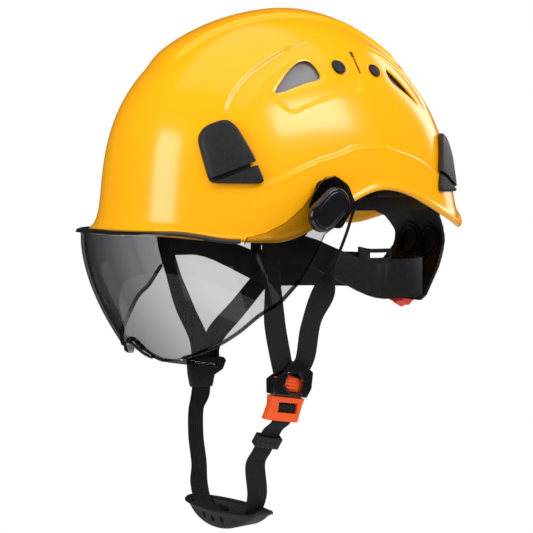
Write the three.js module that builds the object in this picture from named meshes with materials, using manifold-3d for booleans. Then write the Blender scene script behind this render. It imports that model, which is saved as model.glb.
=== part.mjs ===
// Hard hat with a flip-up visor, a harness with a nape ratchet, and a four-point chin strap.
// Units are millimetres. +X is the wearer's left, -Y the front and +Z up.
// z = 0 is the level of the brim's lowest edge, and x = y = 0 is the middle of the head opening.
import * as THREE from 'three';
import { mergeVertices } from 'three/addons/utils/BufferGeometryUtils.js';
import Module from 'manifold-3d';

const wasm = await Module();
wasm.setup();

// ---------------------------------------------------------------- driving dimensions
const GAP = 0.4;

const SHELL = {
  wall: 3,
  planPower: 2.2,
  height: 167.8,
  side: { reach: 111, power: 2.4, root: 1.9 },
  front: { reach: 137.7, power: 3.14, root: 1.75 },
  rear: { reach: 129.2, power: 2.375, root: 1.784 },
};
const RIM = { lowest: 0.3, browRise: 8.7, earRise: 35.2, tail: 5.5, napeRise: 14.5 };
const FLARE = { front: 8, side: 1.2, rear: 4.5, fade: 9 };
const RIDGE = { height: 2.4, frontHalfWidth: 31, widening: 0.13, edge: 5 };

const PIVOT = { y: -28.5, z: 26.5, pin: 4, hole: 4.4 };
const BRACKET = { inner: 112.2, outer: 113.9 };
const CAP = { inner: 119.4, outer: 126, radius: 10.3 };
const LENS = {
  power: 2.4, wall: 2.2, frontReach: 151.4, lean: 0.0182, leanPower: 1.715,
  halfWidth: 119.2, narrowing: 0.0012,
};
const LIP = { inner: -3.2, outer: 2.8, height: 3.2 };

const HEADBAND = { halfWidth: 84, front: 104, rear: 114, power: 2.2, wall: 2 };
const NAPE_BAND = { halfWidth: 83.4, front: 106, rear: 98, power: 3, wall: 2 };
const CROWN = { bottom: 46, tops: [107, 120, 123.5], stripWidth: 20, stripThickness: 1.2 };
const ADJUSTER = { tilt: THREE.MathUtils.degToRad(28), y: 106.2, z: -36 };
const WHEEL = { radius: 18, lobes: 12, lobeDepth: 1.4, thickness: 7.5 };
const RACK = { length: 36, height: 6, thickness: 1.6, pinion: 5 };

const WEBBING = { width: 16, thickness: 1.5 };
const BUCKLE = { x: 62.5, y: -29.5, z: -98, tilt: THREE.MathUtils.degToRad(-9) };
const CHIN_ARC = { x: -1.5, y: -47, z: -147.2, radius: 61, turn: THREE.MathUtils.degToRad(12) };
const CUP = { from: -39, to: 41, halfWidth: 15, wall: 3, rimDrop: 50 };

// ---------------------------------------------------------------- materials
function finish(color, roughness, metalness = 0) {
  return new THREE.MeshStandardMaterial({ color, roughness, metalness });
}
const SHELL_YELLOW = () => finish(0xffb400, 0.18);
const MATT_BLACK = () => finish(0x1c1d1f, 0.7);
const GLOSS_BLACK = () => finish(0x0c0d0e, 0.2);
const SOFT_BLACK = () => finish(0x161616, 0.9);
const MESH_GREY = () => finish(0x5c5c60, 0.8);
const STEEL = () => finish(0x9a9ca0, 0.35, 1);
const ORANGE = () => finish(0xff5a14, 0.4);
const WHEEL_RED = () => finish(0xf03214, 0.4);

function smokedLens() {
  const material = finish(0x55565a, 0.05);
  material.transparent = true;
  material.opacity = 0.45;
  return material;
}

// ---------------------------------------------------------------- solids and geometries
function withoutSlivers(geometry) {
  const bare = new THREE.BufferGeometry();
  bare.setAttribute('position', geometry.getAttribute('position'));
  if (geometry.index) bare.setIndex(geometry.index);
  const merged = mergeVertices(bare, 1e-4);
  const kept = [];
  const index = merged.index.array;
  for (let i = 0; i < index.length; i += 3) {
    const [a, b, c] = index.slice(i, i + 3);
    if (a !== b && b !== c && c !== a) kept.push(a, b, c);
  }
  merged.setIndex(kept);
  return merged;
}

function signedVolume(geometry) {
  const position = geometry.getAttribute('position');
  const index = geometry.index.array;
  const corner = (k) => new THREE.Vector3().fromBufferAttribute(position, index[k]);
  let volume = 0;
  for (let i = 0; i < index.length; i += 3) {
    volume += corner(i).dot(corner(i + 1).cross(corner(i + 2))) / 6;
  }
  return volume;
}

function turnInsideOut(geometry) {
  const index = geometry.index.array;
  const turned = [];
  for (let i = 0; i < index.length; i += 3) turned.push(index[i], index[i + 2], index[i + 1]);
  geometry.setIndex(turned);
  return geometry;
}

function solidOf(geometry) {
  const merged = withoutSlivers(geometry);
  if (signedVolume(merged) < 0) turnInsideOut(merged);
  return new wasm.Manifold(new wasm.Mesh({
    numProp: 3,
    vertProperties: new Float32Array(merged.getAttribute('position').array),
    triVerts: new Uint32Array(merged.index.array),
  }));
}

function geometryOf(solid) {
  const mesh = solid.getMesh();
  const geometry = new THREE.BufferGeometry();
  geometry.setAttribute('position', new THREE.BufferAttribute(mesh.vertProperties, 3));
  geometry.setIndex(new THREE.BufferAttribute(mesh.triVerts, 1));
  return geometry;
}

function mirrored(geometry) {
  return turnInsideOut(geometry.clone().scale(-1, 1, 1));
}

// A closed skin between two surfaces over the same u, v square; closed means that u wraps round.
function skin(columns, rows, outer, inner, closed = false) {
  const stations = closed ? columns : columns + 1;
  const positions = [];
  for (const surface of [outer, inner]) {
    for (let i = 0; i < stations; i += 1) {
      for (let j = 0; j <= rows; j += 1) positions.push(...surface(i / columns, j / rows));
    }
  }
  const at = (side, i, j) => (side * stations + (i % stations)) * (rows + 1) + j;
  const faces = [];
  const quad = (a, b, c, d) => faces.push(a, b, c, a, c, d);
  for (let i = 0; i < columns; i += 1) {
    for (let j = 0; j < rows; j += 1) {
      quad(at(0, i, j), at(0, i + 1, j), at(0, i + 1, j + 1), at(0, i, j + 1));
      quad(at(1, i, j), at(1, i, j + 1), at(1, i + 1, j + 1), at(1, i + 1, j));
    }
    quad(at(0, i, 0), at(1, i, 0), at(1, i + 1, 0), at(0, i + 1, 0));
    quad(at(0, i, rows), at(0, i + 1, rows), at(1, i + 1, rows), at(1, i, rows));
  }
  if (!closed) {
    for (let j = 0; j < rows; j += 1) {
      quad(at(0, 0, j), at(0, 0, j + 1), at(1, 0, j + 1), at(1, 0, j));
      quad(at(0, columns, j), at(1, columns, j), at(1, columns, j + 1), at(0, columns, j + 1));
    }
  }
  const geometry = new THREE.BufferGeometry();
  geometry.setAttribute('position', new THREE.Float32BufferAttribute(positions, 3));
  geometry.setIndex(faces);
  return solidOf(geometry);
}

function shapeOf(points) {
  return new THREE.Shape(points.map(([u, v]) => new THREE.Vector2(u, v)));
}

function smoothShape(points, segments = 28) {
  const corners = points.map(([u, v]) => new THREE.Vector3(u, v, 0));
  const curve = new THREE.CatmullRomCurve3(corners, true, 'centripetal');
  return shapeOf(curve.getPoints(segments).slice(0, -1).map((point) => [point.x, point.y]));
}

function prism(shape, length, u, v, w) {
  const geometry = new THREE.ExtrudeGeometry(shape, { depth: length, bevelEnabled: false, curveSegments: 6 });
  geometry.applyMatrix4(new THREE.Matrix4().makeBasis(u, v, w));
  return geometry;
}

const X = new THREE.Vector3(1, 0, 0);
const Y = new THREE.Vector3(0, 1, 0);
const Z = new THREE.Vector3(0, 0, 1);

// An outline in y and z, extruded along X.
function sidePrism(shape, from, to) {
  return solidOf(prism(shape, to - from, Y, Z, X).translate(from, 0, 0));
}

// An outline in x and z, extruded along Y.
function frontPrism(shape, from, to) {
  return solidOf(prism(shape, to - from, X, Z, Y.clone().negate()).translate(0, to, 0));
}

function rod(axis, radius, from, to, at, segments = 20) {
  const geometry = new THREE.CylinderGeometry(radius, radius, to - from, segments);
  geometry.applyQuaternion(new THREE.Quaternion().setFromUnitVectors(Y, axis));
  const middle = axis.clone().multiplyScalar((from + to) / 2).add(at);
  return solidOf(geometry.translate(middle.x, middle.y, middle.z));
}

function block(sizeX, sizeY, sizeZ, x = 0, y = 0, z = 0) {
  return solidOf(new THREE.BoxGeometry(sizeX, sizeY, sizeZ).translate(x, y, z));
}

function roundedRectangle(width, height, radius) {
  const shape = new THREE.Shape();
  const w = width / 2;
  const h = height / 2;
  shape.moveTo(-w + radius, -h);
  shape.lineTo(w - radius, -h);
  shape.absarc(w - radius, -h + radius, radius, -Math.PI / 2, 0);
  shape.absarc(w - radius, h - radius, radius, 0, Math.PI / 2);
  shape.absarc(-w + radius, h - radius, radius, Math.PI / 2, Math.PI);
  shape.absarc(-w + radius, -h + radius, radius, Math.PI, 1.5 * Math.PI);
  return shape;
}

function smoothstep(t) {
  const s = THREE.MathUtils.clamp(t, 0, 1);
  return s * s * (3 - 2 * s);
}

// A flat strip along a path; each station names the point and the direction of the strip's width.
function ribbon(stations, width, thickness, steps) {
  const points = stations.map(([point]) => new THREE.Vector3(...point));
  const sides = stations.map(([, side]) => new THREE.Vector3(...side));
  const path = new THREE.CatmullRomCurve3(points, false, 'centripetal');
  const across = new THREE.CatmullRomCurve3(sides, false, 'centripetal');
  const face = (side) => (u, v) => {
    const point = path.getPoint(u);
    const tangent = path.getTangent(u);
    const wide = across.getPoint(u).projectOnPlane(tangent).normalize();
    const normal = new THREE.Vector3().crossVectors(tangent, wide);
    point.addScaledVector(wide, (v - 0.5) * width).addScaledVector(normal, (side * thickness) / 2);
    return point.toArray();
  };
  return skin(steps, 1, face(1), face(-1));
}

// ---------------------------------------------------------------- shell
function reachAt(z, profile, out) {
  const rise = Math.max(0, z) / (SHELL.height + out);
  return (profile.reach + out) * Math.pow(Math.max(0, 1 - Math.pow(rise, profile.power)), 1 / profile.root);
}

function planPoint(angle, halfWidth, front, rear, power) {
  const c = Math.cos(angle);
  const s = Math.sin(angle);
  const x = halfWidth * Math.sign(c) * Math.pow(Math.abs(c), 2 / power);
  const y = (s < 0 ? front : rear) * Math.sign(s) * Math.pow(Math.abs(s), 2 / power);
  return [x, y];
}

function shellSection(angle, z, out) {
  const halfWidth = reachAt(z, SHELL.side, out);
  const front = reachAt(z, SHELL.front, out);
  const rear = reachAt(z, SHELL.rear, out);
  return planPoint(angle, halfWidth, front, rear, SHELL.planPower);
}

function rimHeight(y) {
  if (y < -64) return RIM.lowest + RIM.browRise * Math.pow((-y - 64) / 84, 2);
  if (y < 20) return RIM.lowest + RIM.earRise * smoothstep((y + 64) / 84);
  const ear = RIM.tail + (RIM.lowest + RIM.earRise - RIM.tail) * (1 - smoothstep((y - 20) / 100));
  return ear + RIM.napeRise * smoothstep((y - 98) / 32);
}

function rimFlare(y) {
  const front = FLARE.front * smoothstep((-y - 60) / 70);
  const rear = FLARE.rear * smoothstep((y - 50) / 50);
  return FLARE.side + front + rear;
}

function ridge(x, y, z) {
  const halfWidth = RIDGE.frontHalfWidth + RIDGE.widening * (y + 60);
  return RIDGE.height * smoothstep((halfWidth - Math.abs(x)) / RIDGE.edge) * smoothstep((z - 120) / 16);
}

const SHELL_LEVELS = [0, 0.035, 0.08, 0.16, 0.28, 0.42, 0.56, 0.69, 0.8, 0.88, 0.94, 0.98, 1];

function shellPoint(u, v, out, outside) {
  const angle = u * 2 * Math.PI;
  const rim = rimHeight(shellSection(angle, 0, 0)[1]);
  const top = SHELL.height + out;
  const z = rim + (top - rim) * SHELL_LEVELS[Math.round(v * (SHELL_LEVELS.length - 1))];
  const [x, y] = shellSection(angle, z, out);
  const spread = rimFlare(y) * Math.exp(-(z - rim) / FLARE.fade);
  const length = Math.hypot(x, y) || 1;
  const lift = outside ? ridge(x, y, z) : 0;
  return [x + (x / length) * spread, y + (y / length) * spread, z + lift];
}

// The x of the shell's left surface, moved out by a distance, at a height and a depth.
function shellSideX(y, z, out) {
  const reach = reachAt(z, y < 0 ? SHELL.front : SHELL.rear, out);
  const share = 1 - Math.pow(Math.min(1, Math.abs(y) / reach), SHELL.planPower);
  const spread = rimFlare(y) * Math.exp(-Math.max(0, z - rimHeight(y)) / FLARE.fade);
  return reachAt(z, SHELL.side, out) * Math.pow(share, 1 / SHELL.planPower) + spread;
}

function shellPatch(yFrom, yTo, zFrom, zTo, outerOut, innerOut, columns = 6, rows = 6) {
  const face = (out) => (u, v) => {
    const y = THREE.MathUtils.lerp(yFrom, yTo, u);
    const z = THREE.MathUtils.lerp(zFrom, zTo, v);
    return [shellSideX(y, z, out), y, z];
  };
  return skin(columns, rows, face(outerOut), face(innerOut));
}

const FRONT_VENT = smoothShape([[-52, 101], [-45, 110.5], [-36, 119], [-27, 124], [-20.5, 123.5], [-16.6, 113],
  [-31, 107.4]]);
const REAR_VENT = smoothShape([[45, 121], [45, 113], [52, 107.8], [60, 103.2], [68, 98], [60, 108],
  [52, 116]]);
const PLUGS = { front: { y: 0, z: 121, radius: 4.6 }, rear: { y: 31, z: 120, radius: 4.2 } };
const KEYHOLE = shapeOf([[14.9, 133], [18, 133], [18, 129.5], [17.4, 128.6], [17.6, 117], [15.6, 117],
  [15.4, 128.6], [14.9, 129.5]]);

function bothSides(solid) {
  return solid.add(solidOf(mirrored(geometryOf(solid))));
}

function makeShell() {
  const rows = SHELL_LEVELS.length - 1;
  const outside = (u, v) => shellPoint(u, v, 0, true);
  const inside = (u, v) => shellPoint(u, v, -SHELL.wall, false);
  let shell = skin(64, rows, outside, inside, true);
  const cuts = [FRONT_VENT, REAR_VENT, KEYHOLE].map((shape) => sidePrism(shape, 45, 105));
  for (const plug of Object.values(PLUGS)) {
    cuts.push(rod(X, plug.radius + GAP, 60, 105, new THREE.Vector3(0, plug.y, plug.z), 14));
  }
  cuts.push(rod(X, PIVOT.hole, 95, 120, new THREE.Vector3(0, PIVOT.y, PIVOT.z)));
  for (const cut of cuts) shell = shell.subtract(bothSides(cut));
  return shell;
}

function makeGrille(yFrom, yTo, zFrom, zTo) {
  return shellPatch(yFrom, yTo, zFrom, zTo, -SHELL.wall - 1.8, -SHELL.wall - 3);
}

function makePlug({ y, z, radius }) {
  const layer = shellPatch(y - 7, y + 7, z - 7, z + 7, 0.8, -2.6, 2, 2);
  return layer.intersect(rod(X, radius, 60, 105, new THREE.Vector3(0, y, z), 14));
}

// ---------------------------------------------------------------- lamp clips
const CLIP = { foot: 0.6, face: 4.6, groove: 2 };
const FRONT_CLIP = [[-104.5, 67], [-103.3, 73], [-99, 78.5], [-90, 82.3], [-86.5, 81.8], [-83, 77.5],
  [-75.4, 59.5], [-69.6, 41.4], [-72, 39.4], [-99.6, 39.8], [-101.2, 44]];
const FRONT_GROOVE = [[-103, 42.5], [-79.5, 52.6], [-70, 56], [-70, 53], [-78, 49.8], [-99, 40.8],
  [-103, 39]];

function toRear(points) {
  return points.map(([y, z]) => [3 - y, z - 5]);
}

function makeLampClip(outline, groove) {
  const ys = outline.map(([y]) => y);
  const zs = outline.map(([, z]) => z);
  const limits = [Math.min(...ys) - 1, Math.max(...ys) + 1, Math.min(...zs) - 1, Math.max(...zs) + 1];
  const body = shellPatch(...limits, CLIP.face, CLIP.foot).intersect(sidePrism(shapeOf(outline), 30, 120));
  const outerLayer = shellPatch(...limits, CLIP.face + 3, CLIP.groove);
  return body.subtract(outerLayer.intersect(sidePrism(shapeOf(groove), 30, 120)));
}

// ---------------------------------------------------------------- visor
function lensSection(angle, z, out) {
  const drop = Math.max(0, -z);
  const reach = LENS.frontReach - LENS.lean * Math.pow(drop, LENS.leanPower) + out;
  const halfWidth = LENS.halfWidth - LENS.narrowing * drop * drop + out;
  return planPoint(angle, halfWidth, reach, reach, LENS.power);
}

function lensLayer(outerOut, innerOut, columns = 40, rows = 8) {
  const face = (out) => (u, v) => {
    const angle = -Math.PI * (0.012 + 0.976 * u);
    const z = THREE.MathUtils.lerp(-90, 50, v);
    return [...lensSection(angle, z, out), z];
  };
  return skin(columns, rows, face(outerOut), face(innerOut));
}

function lensTop(y) {
  return -0.3 + 4.9 * smoothstep((-y - 92) / 36);
}

// The lens seen from the side: brow edge, arm round the pivot, rear edge and lower rim.
function lensOutline() {
  const brow = [-158, -140, -126, -116, -104, -92, -84].map((y) => [y, lensTop(y)]);
  const arm = [[-72, 7.5], [-59, 14.4], [-48, 24], [-41, 33], [-37, 39], [-32, 44], [-26, 45], [-20, 40]];
  const rear = [[-15, 28], [-16, 19], [-24, 12], [-33, 6], [-39, -6], [-44.5, -15.5], [-50, -25], [-56, -32]];
  const lower = [[-63.6, -40.4], [-74.4, -47.7], [-85.4, -59.2], [-93.5, -67], [-99.5, -71.9],
    [-104.7, -76.5], [-108.3, -80.2], [-112, -83], [-158, -83]];
  return shapeOf([...brow, ...arm, ...rear, ...lower]);
}

// The nose notch seen from the front, as a half line of x and z from the middle outwards.
const NOTCH = [[0, -70.6], [5, -71.8], [9, -74.8], [13, -77.8], [20, -80.6], [30, -83]];

function notchLine(lift) {
  const half = NOTCH.map(([x, z]) => [x, z + lift]);
  const other = half.slice(1).reverse().map(([x, z]) => [-x, z]);
  return [...other, ...half];
}

function sheetInNotch(outerOut, innerOut, drop) {
  const notch = shapeOf([...notchLine(-drop), [30, -95], [-30, -95]]);
  const sheet = lensLayer(outerOut, innerOut).intersect(sidePrism(lensOutline(), -125, 125));
  return sheet.subtract(frontPrism(notch, -170, -60));
}

function makeLens() {
  return sheetInNotch(0, -LENS.wall, 0)
    .subtract(bothSides(rod(X, PIVOT.hole, 100, 130, new THREE.Vector3(0, PIVOT.y, PIVOT.z))));
}

function makeLip() {
  const face = (out) => (u, v) => {
    const angle = THREE.MathUtils.degToRad(-32 - 116 * u);
    const [, y] = lensSection(angle, 0, 0);
    const z = lensTop(y) + 0.6 + LIP.height * v;
    const slope = out > 0 ? -1.4 * v : 0;
    return [...lensSection(angle, 0, out + slope), z + (out > 0 ? -0.9 * v : 0)];
  };
  return skin(30, 1, face(LIP.outer), face(LIP.inner));
}

function makeNosePad() {
  const above = notchLine(2.6).slice(1, -1);
  const below = notchLine(-3.6).slice(1, -1).reverse();
  const arch = frontPrism(shapeOf([...above, ...below]), -170, -60);
  const sheet = sheetInNotch(GAP, -LENS.wall - GAP, GAP);
  return lensLayer(2.4, -LENS.wall - 2.4).intersect(arch).subtract(sheet);
}

function makePivotCap() {
  const half = 6.4;
  const stadium = new THREE.Shape();
  stadium.absarc(half, 0, CAP.radius, -Math.PI / 2, Math.PI / 2);
  stadium.absarc(-half, 0, CAP.radius, Math.PI / 2, 1.5 * Math.PI);
  const depth = CAP.outer - CAP.inner - 2;
  const bevel = { bevelThickness: 1, bevelSize: 1, bevelOffset: -1, bevelSegments: 1 };
  const geometry = new THREE.ExtrudeGeometry(stadium, { ...bevel, depth, curveSegments: 12 });
  geometry.rotateZ(Math.PI / 4);
  geometry.applyMatrix4(new THREE.Matrix4().makeBasis(Y, Z, X));
  const body = solidOf(geometry.translate(CAP.inner + 1, PIVOT.y - 4.4, PIVOT.z - 4.2));
  return body.subtract(rod(X, PIVOT.hole, 100, CAP.inner + 3.1, new THREE.Vector3(0, PIVOT.y, PIVOT.z)));
}

function makeBracket() {
  const outline = [[-21.6, 44.8], [-11.9, 38.8], [-8.7, 31.4], [-6.1, 26], [-17.2, 9.6], [-21.8, 9.6],
    [-35, 13], [-43, 24], [-36, 41]];
  const plate = sidePrism(shapeOf(outline), BRACKET.inner, BRACKET.outer);
  return plate.subtract(rod(X, PIVOT.hole, 100, 130, new THREE.Vector3(0, PIVOT.y, PIVOT.z)));
}

function makePivotPin() {
  const at = new THREE.Vector3(0, PIVOT.y, PIVOT.z);
  return rod(X, PIVOT.pin, 102, CAP.inner + 2.6, at).add(rod(X, 6.5, 100.4, 103.4, at));
}

// ---------------------------------------------------------------- head harness
function bandSection(band, angle, out) {
  return planPoint(angle, band.halfWidth + out, band.front + out, band.rear + out, band.power);
}

function bandStrip(band, from, to, outerOut, innerOut, heights, columns) {
  const face = (out) => (u, v) => {
    const angle = THREE.MathUtils.degToRad(THREE.MathUtils.lerp(from, to, u));
    const [, y] = bandSection(band, angle, 0);
    const [bottom, top] = heights(y);
    return [...bandSection(band, angle, out), THREE.MathUtils.lerp(bottom, top, v)];
  };
  return skin(columns, 1, face(outerOut), face(innerOut), Math.abs(to - from) === 360);
}

function headbandHeights(y) {
  return [6 + 15 * smoothstep((y + 75) / 55), 40];
}

function napeHeights(y) {
  const lug = 20 * smoothstep((-y - 44) / 8);
  const top = 5 - 19 * smoothstep((y + 38) / 66) + lug;
  const bottom = -15 - 27 * smoothstep((y + 40) / 80);
  return [bottom, top];
}

function makeNapeBand() {
  const band = bandStrip(NAPE_BAND, -25, 73, 0, -NAPE_BAND.wall, napeHeights, 28);
  const aboveTop = (from, to) => (y) => [napeHeights(y)[1] + from, napeHeights(y)[1] + to];
  const tab = bandStrip(NAPE_BAND, 3.5, 17, 0, -NAPE_BAND.wall, aboveTop(-2, 8), 6);
  const slot = bandStrip(NAPE_BAND, 7, 15.5, 5, -7, aboveTop(1.6, 5.2), 4);
  return band.add(tab).subtract(slot);
}

const CRADLE_LINE = new THREE.CatmullRomCurve3([[-50, 97], [-36, 104.4], [-20, 112.9], [-8, 120.2], [2, 123.6],
  [12, 122.6], [22, 118.9], [38, 116.6]].map(([z, y]) => new THREE.Vector3(0, y, z)), false, 'centripetal');

function makeCradle() {
  const wall = 2.2;
  const face = (out) => (u, v) => {
    const x = THREE.MathUtils.lerp(-48, 48, u);
    const point = CRADLE_LINE.getPoint(v);
    const tangent = CRADLE_LINE.getTangent(v);
    const bend = 0.0004 + 0.0058 * smoothstep((point.z + 10) / 30);
    return [x, point.y - bend * x * x + tangent.z * out, point.z - tangent.y * out];
  };
  const outline = shapeOf([[-36, -48], [36, -48], [40, -44], [40, -22], [34, -8], [33, 4], [37, 15], [46, 21],
    [46, 36], [-46, 36], [-46, 21], [-37, 15], [-33, 4], [-34, -8], [-40, -22], [-40, -44]]);
  let cradle = skin(12, 14, face(wall), face(0)).intersect(frontPrism(outline, 80, 140));
  const innerHalf = skin(12, 14, face(wall - 1), face(-2));
  for (const x of [-14, 14]) {
    cradle = cradle.subtract(innerHalf.intersect(rod(Y, 9.5, 90, 150, new THREE.Vector3(x, 0, -4), 18)));
  }
  return cradle.subtract(solidOf(placeAdjuster(geometryOf(rod(Y, 3.4, -5, 5, new THREE.Vector3(), 16)))));
}

function placeAdjuster(geometry) {
  return geometry.rotateX(-ADJUSTER.tilt).translate(0, ADJUSTER.y, ADJUSTER.z);
}

// The adjuster's own frame: y is the wheel's axis pointing out, z is up along the cradle.
function adjusterPlate(width, height, radius, from, to) {
  return frontPrism(roundedRectangle(width, height, radius), from, to);
}

function makeAdjusterHousing() {
  const plate = adjusterPlate(50, 27, 6, -8.3, -6.7);
  const rail = (z) => block(38, 2.6, 1.4, 0, -5.7, z);
  return plate.add(rail(12.2)).add(rail(-12.2));
}

function makeAdjusterCover() {
  const cover = adjusterPlate(50, 27, 6, -3.9, -2.3);
  return cover.subtract(rod(Y, 3.4, -10, 10, new THREE.Vector3(), 16));
}

function lobedOutline() {
  const points = [];
  const count = WHEEL.lobes * 4;
  for (let i = 0; i < count; i += 1) {
    const angle = (i / count) * 2 * Math.PI;
    const radius = WHEEL.radius - WHEEL.lobeDepth * (0.5 - 0.5 * Math.cos(WHEEL.lobes * angle));
    points.push([radius * Math.cos(angle), radius * Math.sin(angle)]);
  }
  return shapeOf(points);
}

function makeWheel() {
  const start = 1.1;
  const dial = frontPrism(lobedOutline(), start, start + WHEEL.thickness);
  return dial.add(rod(Y, 3, -4.5, start + 1, new THREE.Vector3(), 16));
}

function makePinion() {
  return rod(Y, RACK.pinion - GAP, -6.3, -4.9, new THREE.Vector3(), 18);
}

// The left rack runs over the pinion and the right one under it.
function makeRack(side) {
  const height = side * (RACK.pinion + RACK.height / 2);
  return block(RACK.length, RACK.thickness, RACK.height, side * 10, -5.3, height);
}

function makeNapePad() {
  const face = (y) => (u, v) => {
    const x = THREE.MathUtils.lerp(-40, 40, u);
    return [x, y - 0.004 * x * x, THREE.MathUtils.lerp(-42, -17, v)];
  };
  return skin(8, 1, face(93.2), face(87.2));
}

// A strip over the head from the anchor at one angle to the anchor at another.
function makeCrownStrap(fromAngle, toAngle, top) {
  const from = new THREE.Vector2(...shellSection(fromAngle, CROWN.bottom, -SHELL.wall - 9.5));
  const to = new THREE.Vector2(...shellSection(toAngle, CROWN.bottom, -SHELL.wall - 9.5));
  const along = to.clone().sub(from).normalize();
  const stations = [];
  for (let i = 0; i <= 10; i += 1) {
    const share = Math.sin(((i - 5) / 5) * (Math.PI / 2));
    const point = from.clone().lerp(to, (1 + share) / 2);
    const rise = Math.sqrt(Math.max(0, 1 - share * share));
    stations.push([[point.x, point.y, CROWN.bottom + (top - CROWN.bottom) * rise], [-along.y, along.x, 0]]);
  }
  return ribbon(stations, CROWN.stripWidth, CROWN.stripThickness, 20);
}

function makeCrownPad() {
  const radius = 34;
  const z = (r) => 103 - 0.0075 * r * r;
  const face = (lift) => (u, v) => {
    const angle = u * 2 * Math.PI;
    const r = radius * (1 - v);
    return [1.15 * r * Math.cos(angle), 1.35 * r * Math.sin(angle), z(r) + lift];
  };
  return skin(20, 3, face(0), face(-4), true);
}

// A key on the inside of the shell: a plate that takes a crown strap, and an arm down to the headband.
function makeAnchor(angle) {
  const spread = (u, degrees) => angle + THREE.MathUtils.degToRad(degrees * (1 - 2 * u));
  const plateFace = (out) => (u, v) => {
    const z = THREE.MathUtils.lerp(31, 52, v);
    return [...shellSection(spread(u, 7), z, out), z];
  };
  const plate = skin(3, 2, plateFace(-SHELL.wall - GAP - 0.5), plateFace(-SHELL.wall - 6));
  const outerEnd = (u, v) => [...shellSection(spread(u, 3.5), 35, -SHELL.wall - 3), 31 + 7 * v];
  const innerEnd = (u, v) => [...bandSection(HEADBAND, spread(u, 3.5), 0.6), 31 + 7 * v];
  return plate.add(skin(2, 1, outerEnd, innerEnd));
}

// ---------------------------------------------------------------- chin harness
const FACING = [0, 1, 0];
const EDGE_ON = [0.883, -0.469, 0];
const TWISTED = [-0.35, 0.94, 0];
const FRONT_STRAP = [[[88, -58, 30], FACING], [[88.5, -58.5, -2], TWISTED], [[83, -54, -28], TWISTED],
  [[74, -47.5, -56], FACING], [[65, -37.8, -82.2], FACING]];
const REAR_LEFT_STRAP = [[[93.5, 14, 38], EDGE_ON], [[93.5, 6, 26], EDGE_ON], [[93.5, -2.2, 5], EDGE_ON],
  [[94, -11, -14], EDGE_ON], [[89, -17, -34], [0.7, 0.6, 0]], [[75, -19.4, -58], FACING],
  [[65.5, -18.6, -83], FACING]];
const REAR_RIGHT_STRAP = [[[-79, 77, 27], [0, 0.7, -0.7]], [[-91, 60, -2], [0, 0.7, -0.7]],
  [[-90, 38, -26], [0, 0.7, -0.7]], [[-79, 2, -58], [0, 0.75, -0.66]], [[-70, -23, -78], [0, 0.95, -0.3]],
  [[-68.6, -28, -88], FACING], [[-68.4, -28.4, -94], FACING]];

const FRONT_RIGHT_STRAP = [...FRONT_STRAP.slice(0, -1).map(([[x, y, z], side]) => [[-x, y, z], side]),
  [[-66, -39.6, -80], FACING], [[-64.2, -38.5, -93.2], FACING]];

function makeWebbing(stations, steps = 14) {
  return ribbon(stations, WEBBING.width, WEBBING.thickness, steps);
}

function makeSlider() {
  const outline = shapeOf([[-50, -95.2], [-44, -94.4], [-20, -95], [-18, -97.5], [-21, -104.5], [-28, -108.5],
    [-30, -117.4], [-47, -117.4], [-49, -108]]);
  const body = sidePrism(outline, -67, -60.6);
  return body.subtract(block(2.4, 40, 1.6, -64, -35, -101));
}

function placeBuckle(geometry) {
  return geometry.rotateX(BUCKLE.tilt).translate(BUCKLE.x, BUCKLE.y, BUCKLE.z);
}

// The buckle's own frame: x is the thickness, y the width, z up; its centre is the frame's centre.
function makeBuckleFrame() {
  const outline = shapeOf([[-3.5, 13.6], [6, 13.2], [15, 7.5], [15.4, -4], [12.6, -11], [-14.6, -11],
    [-16.4, -1], [-8, 6]]);
  const cavity = block(7.8, 25, 26, 0.5, -1, -7.4);
  const pane = shapeOf([[-4.6, 4.2], [3, 5], [7.8, 0.6], [7, -7.8], [-2, -8.2], [-7, -3]]);
  return sidePrism(outline, -5, 6.2).subtract(cavity).subtract(sidePrism(pane, 2, 10));
}

function makeInsert() {
  const tongue = block(4, 23, 16.5, 0, -1, -6.6);
  const buttonWell = block(6, 15.6, 14.6, 2.6, 0, -1.5);
  const flank = shapeOf([[-14, -11.8], [12, -11.8], [10.5, -17], [8.5, -29], [-16, -29], [-13.5, -19]]);
  const shoulder = sidePrism(flank, -4.5, 4.5);
  const slot = block(12, 15, 7.4, 0, -0.5, -19.4);
  const lowerSlot = block(3, 18, 4, 0, -2.6, -28.2);
  const neck = block(4, 20, 3, 0, -1, -14);
  return tongue.add(shoulder).add(neck).subtract(buttonWell).subtract(slot).subtract(lowerSlot);
}

function makeBuckleBar() {
  return rod(Y, 1.7, -7.4, 6.4, new THREE.Vector3(0, 0, -19.4), 12);
}

function makeButton() {
  const outline = shapeOf([[-4.4, 4], [2.8, 4.8], [7.4, 0.6], [6.6, -7.6], [-2, -8], [-6.8, -3]]);
  return sidePrism(outline, 1.4, 2.9);
}

function makeButtonSpring() {
  return block(0.4, 6, 5, 0.1, 0, -1.8);
}

function arcPoint(degrees, radius, across = 0) {
  const angle = THREE.MathUtils.degToRad(degrees);
  const along = radius * Math.sin(angle);
  const c = Math.cos(CHIN_ARC.turn);
  const s = Math.sin(CHIN_ARC.turn);
  return [CHIN_ARC.x + along * c - across * s, CHIN_ARC.y + along * s + across * c,
    CHIN_ARC.z - radius * Math.cos(angle)];
}

const ACROSS_ARC = [-Math.sin(CHIN_ARC.turn), Math.cos(CHIN_ARC.turn), 0];
const KEEPER_AT = new THREE.Vector3(51.5, -41.5, -141.8);
const KEEPER_ALONG = new THREE.Vector3(-0.472, -0.219, -0.855).normalize();

function keeperStation(distance) {
  return [KEEPER_AT.clone().addScaledVector(KEEPER_ALONG, distance).toArray(), FACING];
}

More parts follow.
